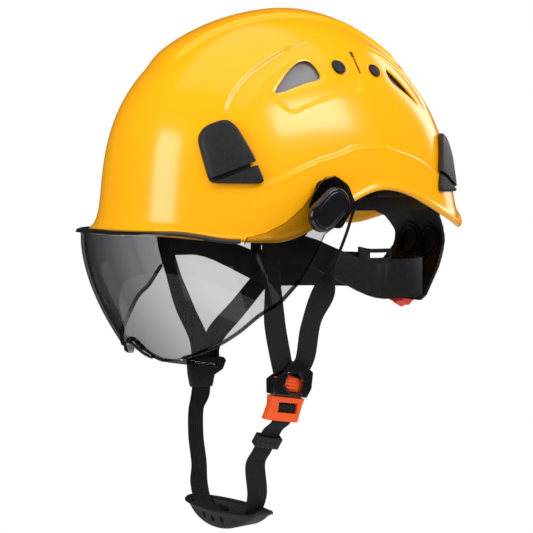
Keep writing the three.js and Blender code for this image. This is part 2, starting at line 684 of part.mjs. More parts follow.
function makeLowerStrap() {
  const stations = [[[-63.8, -38.8, -121.4], FACING], [[-62, -43.5, -133], TWISTED],
    [[-54.5, -47.5, -153], TWISTED], [[-44.5, -49.5, -174], TWISTED], [[-38, -52.5, -188], ACROSS_ARC]];
  for (let degrees = -27; degrees <= 27; degrees += 6) {
    stations.push([arcPoint(degrees, CHIN_ARC.radius), ACROSS_ARC]);
  }
  stations.push([[36, -41.5, -184], FACING], ...[20, 10, 0, -9.5].map(keeperStation));
  return makeWebbing(stations, 48);
}

function makeKeeper() {
  const wide = Y.clone().projectOnPlane(KEEPER_ALONG).normalize();
  const normal = new THREE.Vector3().crossVectors(KEEPER_ALONG, wide);
  const turn = new THREE.Matrix4().makeBasis(wide, normal, KEEPER_ALONG.clone());
  const opening = solidOf(new THREE.BoxGeometry(17, 2.6, 12));
  const ring = solidOf(new THREE.BoxGeometry(20.5, 6.4, 9)).subtract(opening);
  const geometry = geometryOf(ring).applyMatrix4(turn);
  return geometry.translate(KEEPER_AT.x, KEEPER_AT.y, KEEPER_AT.z);
}

function makeChinCup() {
  const inner = CHIN_ARC.radius + WEBBING.thickness / 2 + 0.9;
  const middle = (CUP.from + CUP.to) / 2;
  const reach = (CUP.to - CUP.from) / 2;
  // The sides rise to a nearly level rim, which hangs rimDrop below the arc's centre.
  const face = (radius) => (u, v) => {
    const share = 2 * u - 1;
    const degrees = middle + reach * share;
    const across = 2 * v - 1;
    const halfWidth = CUP.halfWidth * Math.pow(Math.max(0, 1 - share * share), 0.35) + 1;
    const rise = Math.max(0, inner - CUP.rimDrop / Math.cos(THREE.MathUtils.degToRad(degrees)));
    const side = smoothstep((Math.abs(across) - 0.64) / 0.36);
    return arcPoint(degrees, radius - rise * side, halfWidth * across);
  };
  let cup = skin(18, 12, face(inner + CUP.wall), face(inner));
  const bridgeInner = CHIN_ARC.radius - WEBBING.thickness / 2 - 0.6;
  for (const start of [middle - 22, middle + 14]) {
    const side = (radius) => (u, v) => arcPoint(start + 8 * u, radius, 11.6 * (2 * v - 1));
    const hollow = (radius) => (u, v) => arcPoint(start - 2 + 12 * u, radius, 8.8 * (2 * v - 1));
    const bridge = skin(2, 1, side(inner + 1), side(bridgeInner - 1.6));
    cup = cup.add(bridge.subtract(skin(2, 1, hollow(inner), hollow(bridgeInner))));
  }
  return cup;
}

// ---------------------------------------------------------------- assembly
const hat = new THREE.Group();
hat.name = 'hard_hat';

function add(name, piece, material) {
  const geometry = piece instanceof THREE.BufferGeometry ? piece : geometryOf(piece);
  const mesh = new THREE.Mesh(geometry, material);
  mesh.name = name;
  hat.add(mesh);
}

function addPair(name, piece, material) {
  const geometry = piece instanceof THREE.BufferGeometry ? piece : geometryOf(piece);
  add(`${name}_left`, geometry, material());
  add(`${name}_right`, mirrored(geometry), material());
}

add('shell', makeShell(), SHELL_YELLOW());
addPair('vent_grille_front', makeGrille(-57, -11, 96, 129), MESH_GREY);
addPair('vent_grille_rear', makeGrille(40, 73, 93, 126), MESH_GREY);
addPair('vent_plug_front', makePlug(PLUGS.front), MATT_BLACK);
addPair('vent_plug_rear', makePlug(PLUGS.rear), MATT_BLACK);
addPair('lamp_clip_front', makeLampClip(FRONT_CLIP, FRONT_GROOVE), MATT_BLACK);
addPair('lamp_clip_rear', makeLampClip(toRear(FRONT_CLIP), toRear(FRONT_GROOVE)), MATT_BLACK);

add('visor_lens', makeLens(), smokedLens());
add('visor_lip', makeLip(), GLOSS_BLACK());
add('nose_pad', makeNosePad(), SOFT_BLACK());
addPair('visor_bracket', makeBracket(), GLOSS_BLACK);
addPair('pivot_pin', makePivotPin(), STEEL);
addPair('pivot_cap', makePivotCap(), GLOSS_BLACK);

add('headband', bandStrip(HEADBAND, 0, 360, 0, -HEADBAND.wall, headbandHeights, 44), MATT_BLACK());
const browFaces = [-HEADBAND.wall - 0.7, -HEADBAND.wall - 5.5];
add('brow_pad', bandStrip(HEADBAND, -148, -32, ...browFaces, () => [9, 36], 24), SOFT_BLACK());
addPair('nape_band', makeNapeBand(), MATT_BLACK);
add('nape_cradle', makeCradle(), MATT_BLACK());
add('adjuster_housing', placeAdjuster(geometryOf(makeAdjusterHousing())), MATT_BLACK());
add('adjuster_cover', placeAdjuster(geometryOf(makeAdjusterCover())), MATT_BLACK());
add('adjuster_wheel', placeAdjuster(geometryOf(makeWheel())), WHEEL_RED());
add('adjuster_pinion', placeAdjuster(geometryOf(makePinion())), WHEEL_RED());
add('rack_left', placeAdjuster(geometryOf(makeRack(1))), MATT_BLACK());
add('rack_right', placeAdjuster(geometryOf(makeRack(-1))), MATT_BLACK());
add('nape_pad', makeNapePad(), SOFT_BLACK());
const ANCHOR = { side: THREE.MathUtils.degToRad(13), corner: THREE.MathUtils.degToRad(52) };
const [LOW, MIDDLE, HIGH] = CROWN.tops;
add('crown_strap_cross', makeCrownStrap(ANCHOR.side, Math.PI - ANCHOR.side, LOW), SOFT_BLACK());
add('crown_strap_left', makeCrownStrap(ANCHOR.corner, ANCHOR.corner + Math.PI, MIDDLE), SOFT_BLACK());
add('crown_strap_right', makeCrownStrap(Math.PI - ANCHOR.corner, -ANCHOR.corner, HIGH), SOFT_BLACK());
add('crown_pad', makeCrownPad(), SOFT_BLACK());
addPair('harness_anchor_front', makeAnchor(-ANCHOR.corner), MATT_BLACK);
addPair('harness_anchor_side', makeAnchor(ANCHOR.side), MATT_BLACK);
addPair('harness_anchor_rear', makeAnchor(ANCHOR.corner), MATT_BLACK);

add('chin_strap_front_left', makeWebbing(FRONT_STRAP), SOFT_BLACK());
add('chin_strap_front_right', makeWebbing(FRONT_RIGHT_STRAP), SOFT_BLACK());
add('chin_strap_rear_left', makeWebbing(REAR_LEFT_STRAP, 18), SOFT_BLACK());
add('chin_strap_rear_right', makeWebbing(REAR_RIGHT_STRAP, 18), SOFT_BLACK());
add('junction_slider', makeSlider(), MATT_BLACK());
add('buckle_frame', placeBuckle(geometryOf(makeBuckleFrame())), MATT_BLACK());
add('buckle_insert', placeBuckle(geometryOf(makeInsert())), ORANGE());
add('buckle_bar', placeBuckle(geometryOf(makeBuckleBar())), MATT_BLACK());
add('release_button', placeBuckle(geometryOf(makeButton())), ORANGE());
add('button_spring', placeBuckle(geometryOf(makeButtonSpring())), STEEL());
add('lower_chin_strap', makeLowerStrap(), SOFT_BLACK());
add('strap_keeper', makeKeeper(), MATT_BLACK());
add('chin_cup', makeChinCup(), SOFT_BLACK());

export default hat;
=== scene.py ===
"""The looks of the hard hat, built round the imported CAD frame.

Lengths are in millimetres until a mesh is made.
"""
import math

import bmesh
import bpy
import numpy as np
from mathutils import Matrix, Vector


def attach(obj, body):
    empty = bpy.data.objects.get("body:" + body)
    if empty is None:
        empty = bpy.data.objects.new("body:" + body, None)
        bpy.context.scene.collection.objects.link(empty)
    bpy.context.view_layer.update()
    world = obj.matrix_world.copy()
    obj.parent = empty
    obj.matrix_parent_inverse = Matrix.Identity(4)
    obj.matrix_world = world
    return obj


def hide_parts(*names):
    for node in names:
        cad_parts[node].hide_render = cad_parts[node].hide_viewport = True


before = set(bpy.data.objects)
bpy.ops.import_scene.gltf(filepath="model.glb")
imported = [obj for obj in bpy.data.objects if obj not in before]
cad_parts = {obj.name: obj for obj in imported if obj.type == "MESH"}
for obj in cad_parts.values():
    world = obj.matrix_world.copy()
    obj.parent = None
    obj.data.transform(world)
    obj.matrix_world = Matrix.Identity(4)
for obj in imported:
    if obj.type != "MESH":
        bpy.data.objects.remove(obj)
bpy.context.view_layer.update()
scene = bpy.context.scene
MM = 0.001

# ---------------------------------------------------------------- camera, light and floor
AZIMUTH, ELEVATION, DISTANCE = math.radians(62), math.radians(3), 1.05
AIM = Vector((-6.06, -11.4, -21.63)) * MM


def direction(azimuth, elevation):
    flat = math.cos(elevation)
    return Vector((math.sin(azimuth) * flat, -math.cos(azimuth) * flat, math.sin(elevation)))


def add_camera():
    data = bpy.data.cameras.new("camera")
    data.lens, data.sensor_width = 94.56, 36
    camera = bpy.data.objects.new("camera", data)
    back = direction(AZIMUTH, ELEVATION)
    camera.location = AIM + back * DISTANCE
    camera.rotation_euler = back.to_track_quat("Z", "Y").to_euler()
    scene.collection.objects.link(camera)
    scene.camera = camera


def add_softbox(name, azimuth, elevation, distance, width, height, power, aim=(0, 0, 0.03)):
    data = bpy.data.lights.new(name, "AREA")
    data.shape, data.size, data.size_y, data.energy = "RECTANGLE", width, height, power
    light = bpy.data.objects.new(name, data)
    away = direction(math.radians(azimuth), math.radians(elevation))
    light.location = Vector(aim) + away * distance
    light.rotation_euler = away.to_track_quat("Z", "Y").to_euler()
    scene.collection.objects.link(light)


def add_world():
    world = bpy.data.worlds.new("studio")
    scene.world = world
    world.use_nodes = True
    nodes, links = world.node_tree.nodes, world.node_tree.links
    background = nodes["Background"]
    background.inputs["Color"].default_value = (1, 1, 1, 1)
    path = nodes.new("ShaderNodeLightPath")
    glossy = nodes.new("ShaderNodeMapRange")
    glossy.inputs["To Min"].default_value, glossy.inputs["To Max"].default_value = 0.72, 0.03
    strength = nodes.new("ShaderNodeMapRange")
    strength.inputs["To Max"].default_value = 1.0
    links.new(path.outputs["Is Glossy Ray"], glossy.inputs["Value"])
    links.new(glossy.outputs["Result"], strength.inputs["To Min"])
    links.new(path.outputs["Is Camera Ray"], strength.inputs["Value"])
    links.new(strength.outputs["Result"], background.inputs["Strength"])


def add_floor():
    """A pale floor far below, since the hat hangs free."""
    mat = material("pale_floor", (0.9, 0.9, 0.9), 0.8)
    vary(mat, add_noise(mat, 6, 2), "Roughness", 0.75, 0.85)
    turn = np.linspace(0, 2 * math.pi, 64, endpoint=False)
    ring = [(6000 * math.cos(t), 6000 * math.sin(t), -2500) for t in turn]
    floor = make("floor", ring, [tuple(range(64))], mat, None, None)


add_camera()
add_world()
scene.view_settings.view_transform = "Standard"
add_softbox("front_window", 1, 15, 1.3, 0.5, 0.6, 6)
add_softbox("side_window", 104, 40, 1.3, 0.8, 0.36, 8)
add_softbox("rear_window", 196, 22, 1.4, 0.5, 0.9, 4)
add_softbox("overhead", 20, 84, 1.4, 1.5, 1.5, 6)
add_softbox("low_fill", 40, -25, 1.6, 1.2, 0.6, 2)


# ---------------------------------------------------------------- materials
def material(name, color, roughness, metallic=0.0, **inputs):
    mat = bpy.data.materials.new(name)
    mat.use_nodes = True
    shader = mat.node_tree.nodes["Principled BSDF"]
    shader.inputs["Base Color"].default_value = (*color, 1)
    shader.inputs["Roughness"].default_value = roughness
    shader.inputs["Metallic"].default_value = metallic
    for key, value in inputs.items():
        shader.inputs[key.replace("_", " ")].default_value = value
    return mat


def node(mat, kind, **values):
    made = mat.node_tree.nodes.new(kind)
    for key, value in values.items():
        if key in made.inputs:
            made.inputs[key].default_value = value
        else:
            setattr(made, key, value)
    return made


def place(mat, output="Object"):
    return node(mat, "ShaderNodeTexCoord").outputs[output]


def join(mat, source, target):
    mat.node_tree.links.new(source, target)


def shader_of(mat):
    return mat.node_tree.nodes["Principled BSDF"]


def add_bump(mat, height, strength, distance):
    bump = node(mat, "ShaderNodeBump", Strength=strength, Distance=distance)
    join(mat, height, bump.inputs["Height"])
    join(mat, bump.outputs["Normal"], shader_of(mat).inputs["Normal"])
    return bump


def add_noise(mat, scale, detail=2.0):
    noise = node(mat, "ShaderNodeTexNoise", Scale=scale, Detail=detail)
    join(mat, place(mat), noise.inputs["Vector"])
    return noise.outputs["Fac"]


def vary(mat, source, socket, low, high):
    ramp = node(mat, "ShaderNodeMapRange")
    ramp.inputs["To Min"].default_value = low
    ramp.inputs["To Max"].default_value = high
    join(mat, source, ramp.inputs["Value"])
    join(mat, ramp.outputs["Result"], shader_of(mat).inputs[socket])


def tint(mat, source, dark, light, low=0.3, high=0.7):
    ramp = node(mat, "ShaderNodeValToRGB")
    ramp.color_ramp.elements[0].position, ramp.color_ramp.elements[1].position = low, high
    ramp.color_ramp.elements[0].color, ramp.color_ramp.elements[1].color = (*dark, 1), (*light, 1)
    join(mat, source, ramp.inputs["Fac"])
    join(mat, ramp.outputs["Color"], shader_of(mat).inputs["Base Color"])


def shell_material():
    mat = material("shell_yellow_abs", (0.98, 0.42, 0.0), 0.2, Coat_Weight=0.15, Coat_Roughness=0.1,
                   Specular_IOR_Level=0.4)
    tint(mat, add_noise(mat, 9, 3), (0.96, 0.405, 0.0), (1.0, 0.435, 0.0))
    vary(mat, add_noise(mat, 60, 4), "Roughness", 0.17, 0.24)
    add_bump(mat, add_noise(mat, 420, 1), 0.08, 0.0002)
    return mat


def grained_black(name, grey, roughness, grain, depth):
    mat = material(name, (grey, grey, grey * 1.05), roughness)
    tint(mat, add_noise(mat, grain * 0.6, 2), (grey * 0.7,) * 3, (grey * 1.5, grey * 1.5, grey * 1.6))
    vary(mat, add_noise(mat, grain * 0.3, 3), "Roughness", roughness - 0.07, roughness + 0.08)
    add_bump(mat, add_noise(mat, grain, 3), 0.5, depth)
    return mat


def glossy_black():
    mat = material("gloss_black", (0.008, 0.008, 0.009), 0.14, Coat_Weight=0.4, Coat_Roughness=0.05)
    vary(mat, add_noise(mat, 90, 4), "Roughness", 0.1, 0.24)
    add_bump(mat, add_noise(mat, 300, 2), 0.06, 0.0002)
    return mat


def coloured_plastic(name, color, roughness):
    mat = material(name, color, roughness)
    dark = tuple(0.82 * c for c in color)
    tint(mat, add_noise(mat, 40, 3), dark, color)
    vary(mat, add_noise(mat, 120, 3), "Roughness", roughness - 0.08, roughness + 0.1)
    add_bump(mat, add_noise(mat, 900, 2), 0.2, 0.0002)
    return mat


def webbing_material():
    mat = material("webbing", (0.016, 0.016, 0.018), 0.85, Sheen_Weight=0.06, Sheen_Roughness=0.4)
    uv = place(mat, "UV")
    weave = node(mat, "ShaderNodeTexWave", Scale=1.0, Distortion=0.0, bands_direction="Y")
    stretch = node(mat, "ShaderNodeMapping")
    stretch.inputs["Scale"].default_value = (0, 260, 0)
    join(mat, uv, stretch.inputs["Vector"])
    join(mat, stretch.outputs["Vector"], weave.inputs["Vector"])
    fuzz = add_noise(mat, 1500, 3)
    both = node(mat, "ShaderNodeMath", operation="ADD")
    join(mat, weave.outputs["Fac"], both.inputs[0])
    join(mat, fuzz, both.inputs[1])
    # painted shade and light: the grooves of the weave are painted darker and its raised ribs lighter,
    # following the relief that the bump gives
    tint(mat, both.outputs["Value"], (0.002, 0.002, 0.0024), (0.009, 0.009, 0.01), 0.4, 1.5)
    add_bump(mat, both.outputs["Value"], 0.5, 0.0002)
    return mat


def foam_material():
    mat = material("pad_fabric", (0.02, 0.02, 0.022), 0.95, Sheen_Weight=0.5, Sheen_Roughness=0.5)
    cells = node(mat, "ShaderNodeTexVoronoi", Scale=620.0)
    join(mat, place(mat), cells.inputs["Vector"])
    # painted shade: the pits between the foam cells, which the bump below presses in, are painted darker than
    # the raised cells
    tint(mat, cells.outputs["Distance"], (0.034, 0.034, 0.038), (0.006, 0.006, 0.007), 0.1, 0.6)
    add_bump(mat, cells.outputs["Distance"], -0.8, 0.0005)
    return mat


def steel_material():
    mat = material("turned_steel", (0.6, 0.6, 0.62), 0.32, 1.0)
    vary(mat, add_noise(mat, 500, 3), "Roughness", 0.22, 0.42)
    return mat


def smoked_material(name, normal_tint, grazing_tint):
    """A clear grey sheet: what is behind shows through, darker where the sheet is seen at a slant."""
    mat = bpy.data.materials.new(name)
    mat.use_nodes = True
    nodes = mat.node_tree.nodes
    nodes.remove(nodes["Principled BSDF"])
    clear = node(mat, "ShaderNodeBsdfTransparent")
    gloss = node(mat, "ShaderNodeBsdfGlossy", Roughness=0.03)
    slant = node(mat, "ShaderNodeLayerWeight", Blend=0.5)
    ramp = node(mat, "ShaderNodeValToRGB")
    ramp.color_ramp.elements[0].color, ramp.color_ramp.elements[0].position = (*normal_tint, 1), 0.05
    ramp.color_ramp.elements[1].color, ramp.color_ramp.elements[1].position = (*grazing_tint, 1), 0.9
    join(mat, slant.outputs["Facing"], ramp.inputs["Fac"])
    join(mat, ramp.outputs["Color"], clear.inputs["Color"])
    power = node(mat, "ShaderNodeMath", operation="POWER")
    power.inputs[1].default_value = 5
    join(mat, slant.outputs["Facing"], power.inputs[0])
    mirror = node(mat, "ShaderNodeMapRange")
    mirror.inputs["To Min"].default_value, mirror.inputs["To Max"].default_value = 0.03, 0.8
    join(mat, power.outputs["Value"], mirror.inputs["Value"])
    mix = node(mat, "ShaderNodeMixShader")
    join(mat, mirror.outputs["Result"], mix.inputs["Fac"])
    join(mat, clear.outputs["BSDF"], mix.inputs[1])
    join(mat, gloss.outputs["BSDF"], mix.inputs[2])
    join(mat, mix.outputs["Shader"], nodes["Material Output"].inputs["Surface"])
    return mat


def mesh_material():
    """A fine grey net: thin light threads over dark gaps; the dark in the gaps is painted shade, as if seen
    through the net.
    """
    mat = material("vent_mesh", (0.2, 0.2, 0.2), 0.55)
    threads = []
    for axis in ("Y", "Z"):
        wave = node(mat, "ShaderNodeTexWave", Scale=420.0, Distortion=0.0, bands_direction=axis)
        join(mat, place(mat), wave.inputs["Vector"])
        threads.append(wave.outputs["Fac"])
    net = node(mat, "ShaderNodeMath", operation="MAXIMUM")
    join(mat, threads[0], net.inputs[0])
    join(mat, threads[1], net.inputs[1])
    # painted shade: the gaps between the threads are painted dark, while the threads keep the net's own grey
    tint(mat, net.outputs["Value"], (0.05, 0.05, 0.052), (0.34, 0.34, 0.35), 0.45, 0.95)
    add_bump(mat, net.outputs["Value"], 0.5, 0.0002)
    return mat


SHELL = shell_material()
MATT = grained_black("matt_black", 0.005, 0.55, 900, 0.00035)
GRAIN = grained_black("clip_black", 0.009, 0.5, 1300, 0.0006)
RUBBER = grained_black("soft_rubber", 0.008, 0.62, 700, 0.0003)
MESH = mesh_material()
GLOSS = glossy_black()
ORANGE = coloured_plastic("buckle_orange", (1.0, 0.11, 0.012), 0.38)
WHEEL = coloured_plastic("wheel_red", (0.9, 0.045, 0.012), 0.36)
WEBBING = webbing_material()
FOAM = foam_material()
STEEL = steel_material()
LENS = smoked_material("smoked_lens", (0.77, 0.77, 0.78), (0.36, 0.36, 0.37))
LENS_EDGE = smoked_material("smoked_edge", (0.34, 0.34, 0.36), (0.1, 0.1, 0.11))


# ---------------------------------------------------------------- mesh tools
def smooth(t):
    t = np.clip(t, 0, 1)
    return t * t * (3 - 2 * t)


def make(name, vertices, faces, mat, body, slot_name, replaced=(), sharp=38):
    """A piece from vertices in millimetres; it rides on a body and stands for the replaced CAD nodes."""
    mesh = bpy.data.meshes.new(name)
    mesh.from_pydata([tuple(np.asarray(v, float) * MM) for v in vertices], [], faces)
    obj = bpy.data.objects.new(name, mesh)
    scene.collection.objects.link(obj)
    tidy(obj, mat, sharp)
    if body:
        finish(obj, body, replaced)
    return obj


def tidy(obj, mat, sharp=38, merge=1e-6):
    bm = bmesh.new()
    bm.from_mesh(obj.data)
    bmesh.ops.remove_doubles(bm, verts=bm.verts, dist=merge)
    bmesh.ops.dissolve_degenerate(bm, edges=bm.edges, dist=1e-7)
    bmesh.ops.recalc_face_normals(bm, faces=bm.faces)
    bm.to_mesh(obj.data)
    bm.free()
    shade(obj, sharp)
    if mat is not None:
        obj.data.materials.clear()
        obj.data.materials.append(mat)


def shade(obj, sharp):
    obj.data.polygons.foreach_set("use_smooth", [True] * len(obj.data.polygons))
    obj.data.set_sharp_from_angle(angle=math.radians(sharp))


def finish(obj, body, replaced=()):
    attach(obj, body)
    if replaced:
        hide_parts(*([replaced] if isinstance(replaced, str) else replaced))


def apply_modifiers(obj):
    bpy.context.view_layer.update()
    shown = obj.evaluated_get(bpy.context.evaluated_depsgraph_get())
    mesh = bpy.data.meshes.new_from_object(shown)
    obj.modifiers.clear()
    obj.data = mesh


def split_large_faces(obj):
    """A boolean needs its curved end faces as triangles."""
    bm = bmesh.new()
    bm.from_mesh(obj.data)
    bmesh.ops.triangulate(bm, faces=[face for face in bm.faces if len(face.verts) > 4])
    bm.to_mesh(obj.data)
    bm.free()


def cut(obj, cutter, operation="DIFFERENCE", solver="EXACT"):
    split_large_faces(obj)
    split_large_faces(cutter)
    modifier = obj.modifiers.new("cut", "BOOLEAN")
    modifier.operation, modifier.solver, modifier.object = operation, solver, cutter
    apply_modifiers(obj)
    bpy.data.objects.remove(cutter)
    return obj


def bevel(obj, width, segments=3, angle=35, sharp=50):
    modifier = obj.modifiers.new("bevel", "BEVEL")
    modifier.width, modifier.segments, modifier.limit_method = width * MM, segments, "ANGLE"
    modifier.angle_limit = math.radians(angle)
    modifier.use_clamp_overlap = True
    apply_modifiers(obj)
    shade(obj, sharp)
    return obj


def mirror_copy(obj, name, body, replaced=()):
    mesh = obj.data.copy()
    mesh.transform(Matrix.Diagonal((-1, 1, 1, 1)))
    mesh.flip_normals()
    other = bpy.data.objects.new(name, mesh)
    scene.collection.objects.link(other)
    shade(other, 38)
    finish(other, body, replaced)
    return other


def quads(at, columns, rows):
    return [(at(i, j), at(i + 1, j), at(i + 1, j + 1), at(i, j + 1)) for i in range(columns)
            for j in range(rows)]


def grid_faces(columns, rows, closed, start=0):
    stations = columns if closed else columns + 1
    at = lambda i, j: start + (i % stations) * (rows + 1) + j
    return quads(at, columns, rows)


def skin(outer, inner, closed=False):
    """Vertices and faces of a closed skin between two equal grids of points."""
    stations, heights = outer.shape[:2]
    columns, rows = (stations if closed else stations - 1), heights - 1
    vertices = np.concatenate([outer.reshape(-1, 3), inner.reshape(-1, 3)])
    base = stations * heights
    faces = grid_faces(columns, rows, closed) + grid_faces(columns, rows, closed, base)
    at = lambda i, j: (i % stations) * heights + j
    for i in range(columns):
        for j in (0, rows):
            faces.append((at(i, j), at(i + 1, j), base + at(i + 1, j), base + at(i, j)))
    if not closed:
        for i in (0, columns):
            faces += [(at(i, j), at(i, j + 1), base + at(i, j + 1), base + at(i, j)) for j in range(rows)]
    return vertices, faces


def swept(loops, closed=False):
    """Vertices and faces of a tube through equal loops of points; its ends are capped unless it closes."""
    loops = np.asarray(loops, float)
    stations, count = loops.shape[:2]
    spans = stations if closed else stations - 1
    at = lambda i, j: (i % stations) * count + j % count
    faces = quads(at, spans, count)
    if not closed:
        faces += [tuple(range(count)), tuple((stations - 1) * count + j for j in range(count))]
    return loops.reshape(-1, 3), faces


def several(shapes):
    vertices, faces = [], []
    for points, polygons in shapes:
        base = len(vertices)
        vertices += [tuple(p) for p in points]
        faces += [tuple(base + k for k in polygon) for polygon in polygons]
    return vertices, faces


def rounded(points, radius, steps=5):
    """A polygon with each corner replaced by a short curve."""
    points = np.asarray(points, float)
    out = []
    for i, corner in enumerate(points):
        before, after = points[i - 1], points[(i + 1) % len(points)]
        reach_in = min(radius, 0.45 * np.linalg.norm(before - corner))
        reach_out = min(radius, 0.45 * np.linalg.norm(after - corner))
        start = corner + (before - corner) / np.linalg.norm(before - corner) * reach_in
        end = corner + (after - corner) / np.linalg.norm(after - corner) * reach_out
        for t in np.linspace(0, 1, steps):
            out.append((1 - t) ** 2 * start + 2 * t * (1 - t) * corner + t * t * end)
    return np.array(out)


def inset(outline, amount):
    outline = np.asarray(outline, float)
    edge = np.roll(outline, -1, 0) - outline
    normal = np.stack([edge[:, 1], -edge[:, 0]], 1)
    normal /= np.linalg.norm(normal, axis=1)[:, None] + 1e-9
    corner = normal + np.roll(normal, 1, 0)
    corner /= np.linalg.norm(corner, axis=1)[:, None] + 1e-9
    area = 0.5 * np.sum(outline[:, 0] * np.roll(outline[:, 1], -1) - outline[:, 1] * np.roll(outline[:, 0], -1))
    return outline - corner * amount * (1 if area > 0 else -1)


def lofted(outline, profile, to_space, fill=()):
    """A solid whose outline shrinks by each inset at each height.

    to_space maps (u, v, height) arrays to points.
    fill adds rings on the last face, each a share of its size, so that the face follows a curved surface.
    """
    loops = []
    for amount, height in profile:
        ring = inset(outline, amount)
        loops.append(to_space(ring[:, 0], ring[:, 1], np.full(len(ring), float(height))))
    middle = ring.mean(0)
    for share in fill:
        inner = middle + (ring - middle) * share
        loops.append(to_space(inner[:, 0], inner[:, 1], np.full(len(ring), float(height))))
    return swept(loops)


def side_space(u, v, height):
    return np.stack([height, u, v], 1)


def prism(outline, low, high, to_space=side_space):
    return lofted(outline, [(0, low), (0, high)], to_space)


def both_sides(parts):
    return several([(np.asarray(points) * (sign, 1, 1), polygons) for points, polygons in parts
                    for sign in (1, -1)])


def cutter(parts, mat=None):
    return make("cutter", *both_sides(parts), mat, None, None)


def catmull(points, count):
    """Evenly counted points on a centripetal Catmull-Rom curve through the given points."""
    points = np.asarray(points, float)
    ends = np.vstack([2 * points[0] - points[1], points, 2 * points[-1] - points[-2]])
    spans = len(points) - 1
    out = []
    for value in np.linspace(0, spans, count):
        i = min(int(value), spans - 1)
        p = ends[i:i + 4]
        gap = np.maximum(np.linalg.norm(np.diff(p, axis=0), axis=1) ** 0.5, 1e-4)
        knot = np.concatenate([[0], np.cumsum(gap)])
        t = knot[1] + (value - i) * gap[1]
        mix = lambda a, b, i0, i1: ((knot[i1] - t) * a + (t - knot[i0]) * b) / (knot[i1] - knot[i0])
        a1, a2, a3 = mix(p[0], p[1], 0, 1), mix(p[1], p[2], 1, 2), mix(p[2], p[3], 2, 3)
        b1, b2 = mix(a1, a2, 0, 2), mix(a2, a3, 1, 3)
        out.append(mix(b1, b2, 1, 2))
    return np.array(out)


def unit(v):
    return v / (np.linalg.norm(v, axis=-1, keepdims=True) + 1e-12)


def webbing_section(width, thickness, ribs=8, count=72):
    """Half-width and half-thickness of a ribbed strap's cross-section, once round."""
    across = np.linspace(-0.5, 0.5, count)
    edge = np.clip(1 - (np.abs(across) * 2) ** 14, 0, 1) ** 0.5
    rib = 0.16 * np.abs(np.cos(across * math.pi * ribs)) * edge - 0.1
    top = np.stack([across * width, thickness / 2 * edge * 0.86 + rib], 1)
    return np.concatenate([top, top[::-1][1:-1] * (1, -1)])


def webbing(name, stations, width, thickness, body, replaced=(), steps=110, slot_name="webbing_black"):
    path = catmull([s[0] for s in stations], steps)
    across = catmull([s[1] for s in stations], steps)
    tangent = unit(np.gradient(path, axis=0))
    wide = unit(across - tangent * np.sum(across * tangent, 1)[:, None])
    normal = np.cross(tangent, wide)
    section = webbing_section(width, thickness)
    loops = path[:, None] + wide[:, None] * section[None, :, :1] + normal[:, None] * section[None, :, 1:]
    obj = make(name, *swept(loops), WEBBING, body, slot_name, replaced, sharp=60)
    length = np.concatenate([[0], np.cumsum(np.linalg.norm(np.diff(path, axis=0), axis=1))])
    layer = obj.data.uv_layers.new(name="strap")
    count = len(section)
    for loop in obj.data.loops:
        i, j = divmod(loop.vertex_index, count)
        layer.data[loop.index].uv = (j / count, length[min(i, steps - 1)] * MM)
    return obj


def refined(node_name, body, mat, width=0.5, segments=3, angle=35):
    """A rounded and smoothed look for a CAD piece whose shape is already right."""
    obj = bpy.data.objects.new(node_name + "_look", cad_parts[node_name].data.copy())
    scene.collection.objects.link(obj)
    tidy(obj, mat, merge=2e-6)
    bm = bmesh.new()
    bm.from_mesh(obj.data)
    bmesh.ops.dissolve_limit(bm, angle_limit=math.radians(1.5), verts=bm.verts, edges=bm.edges)
    bm.to_mesh(obj.data)
    bm.free()
    bevel(obj, width, segments, angle)
    finish(obj, body, node_name)
    return obj


# ---------------------------------------------------------------- shell
HEIGHT, WALL, PLAN = 167.8, 3.0, 2.2
SIDE, FRONT, REAR = (111, 2.4, 1.9), (137.7, 3.14, 1.75), (129.2, 2.375, 1.784)


def reach(z, profile, out):
    size, power, root = profile
    rise = np.maximum(0, z) / (HEIGHT + out)
    return (size + out) * np.maximum(0, 1 - rise ** power) ** (1 / root)


def plan_point(angle, half_width, front, rear, power):
    c, s = np.cos(angle), np.sin(angle)
    x = half_width * np.sign(c) * np.abs(c) ** (2 / power)
    return x, np.where(s < 0, front, rear) * np.sign(s) * np.abs(s) ** (2 / power)


def shell_section(angle, z, out):
    return plan_point(angle, reach(z, SIDE, out), reach(z, FRONT, out), reach(z, REAR, out), PLAN)


def rim_height(y):
    brow = 0.3 + 8.7 * (np.maximum(0, -y - 64) / 84) ** 2
    temple = 0.3 + 35.2 * smooth((y + 64) / 84)
    ear = 35.5 - 30 * smooth((y - 20) / 100) + 14.5 * smooth((y - 98) / 32)
    return np.where(y < -64, brow, np.where(y < 20, temple, ear))


def rim_flare(y):
    return 1.2 + 8 * smooth((-y - 60) / 70) + 4.5 * smooth((y - 50) / 50)


def shell_side_x(y, z, out):
    size = np.where(y < 0, reach(z, FRONT, out), reach(z, REAR, out))
    share = 1 - np.minimum(1, np.abs(y) / size) ** PLAN
    spread = rim_flare(y) * np.exp(-np.maximum(0, z - rim_height(y)) / 9)
    return reach(z, SIDE, out) * share ** (1 / PLAN) + spread


UPPER_LINE = [
    (-92, 83), (-86.7, 90.9), (-80.8, 100.5), (-74.3, 108.2), (-65.5, 116), (-54.2, 124), (-43.3, 130),
    (-31.3, 135.6), (-19.1, 139.4), (-7.2, 141.5), (3.7, 142.1), (13.6, 141.8), (23.1, 140.4),
    (32.8, 138.5), (44.7, 134.9), (55.9, 129.8), (67.8, 121.7), (77.9, 111.1), (84, 97), (88, 80),
]
INNER_LINE = [
    (-88, 74), (-82.3, 82.7), (-76.8, 91.6), (-70.4, 99.5), (-62.3, 107.5), (-54.3, 113.5), (-44.2, 120.5),
    (-33, 126.6), (-18.2, 132.3), (0, 136),
]
PANEL_LINE = [
    (-90, 70), (-62, 97), (-57.3, 99.2), (-51.9, 93.8), (-46.3, 88.4), (-43, 87.8), (-35.4, 91.3),
    (-23.6, 95.7), (-11.3, 99.6), (1.1, 101.7), (13.9, 102.9), (40, 98), (90, 70),
]
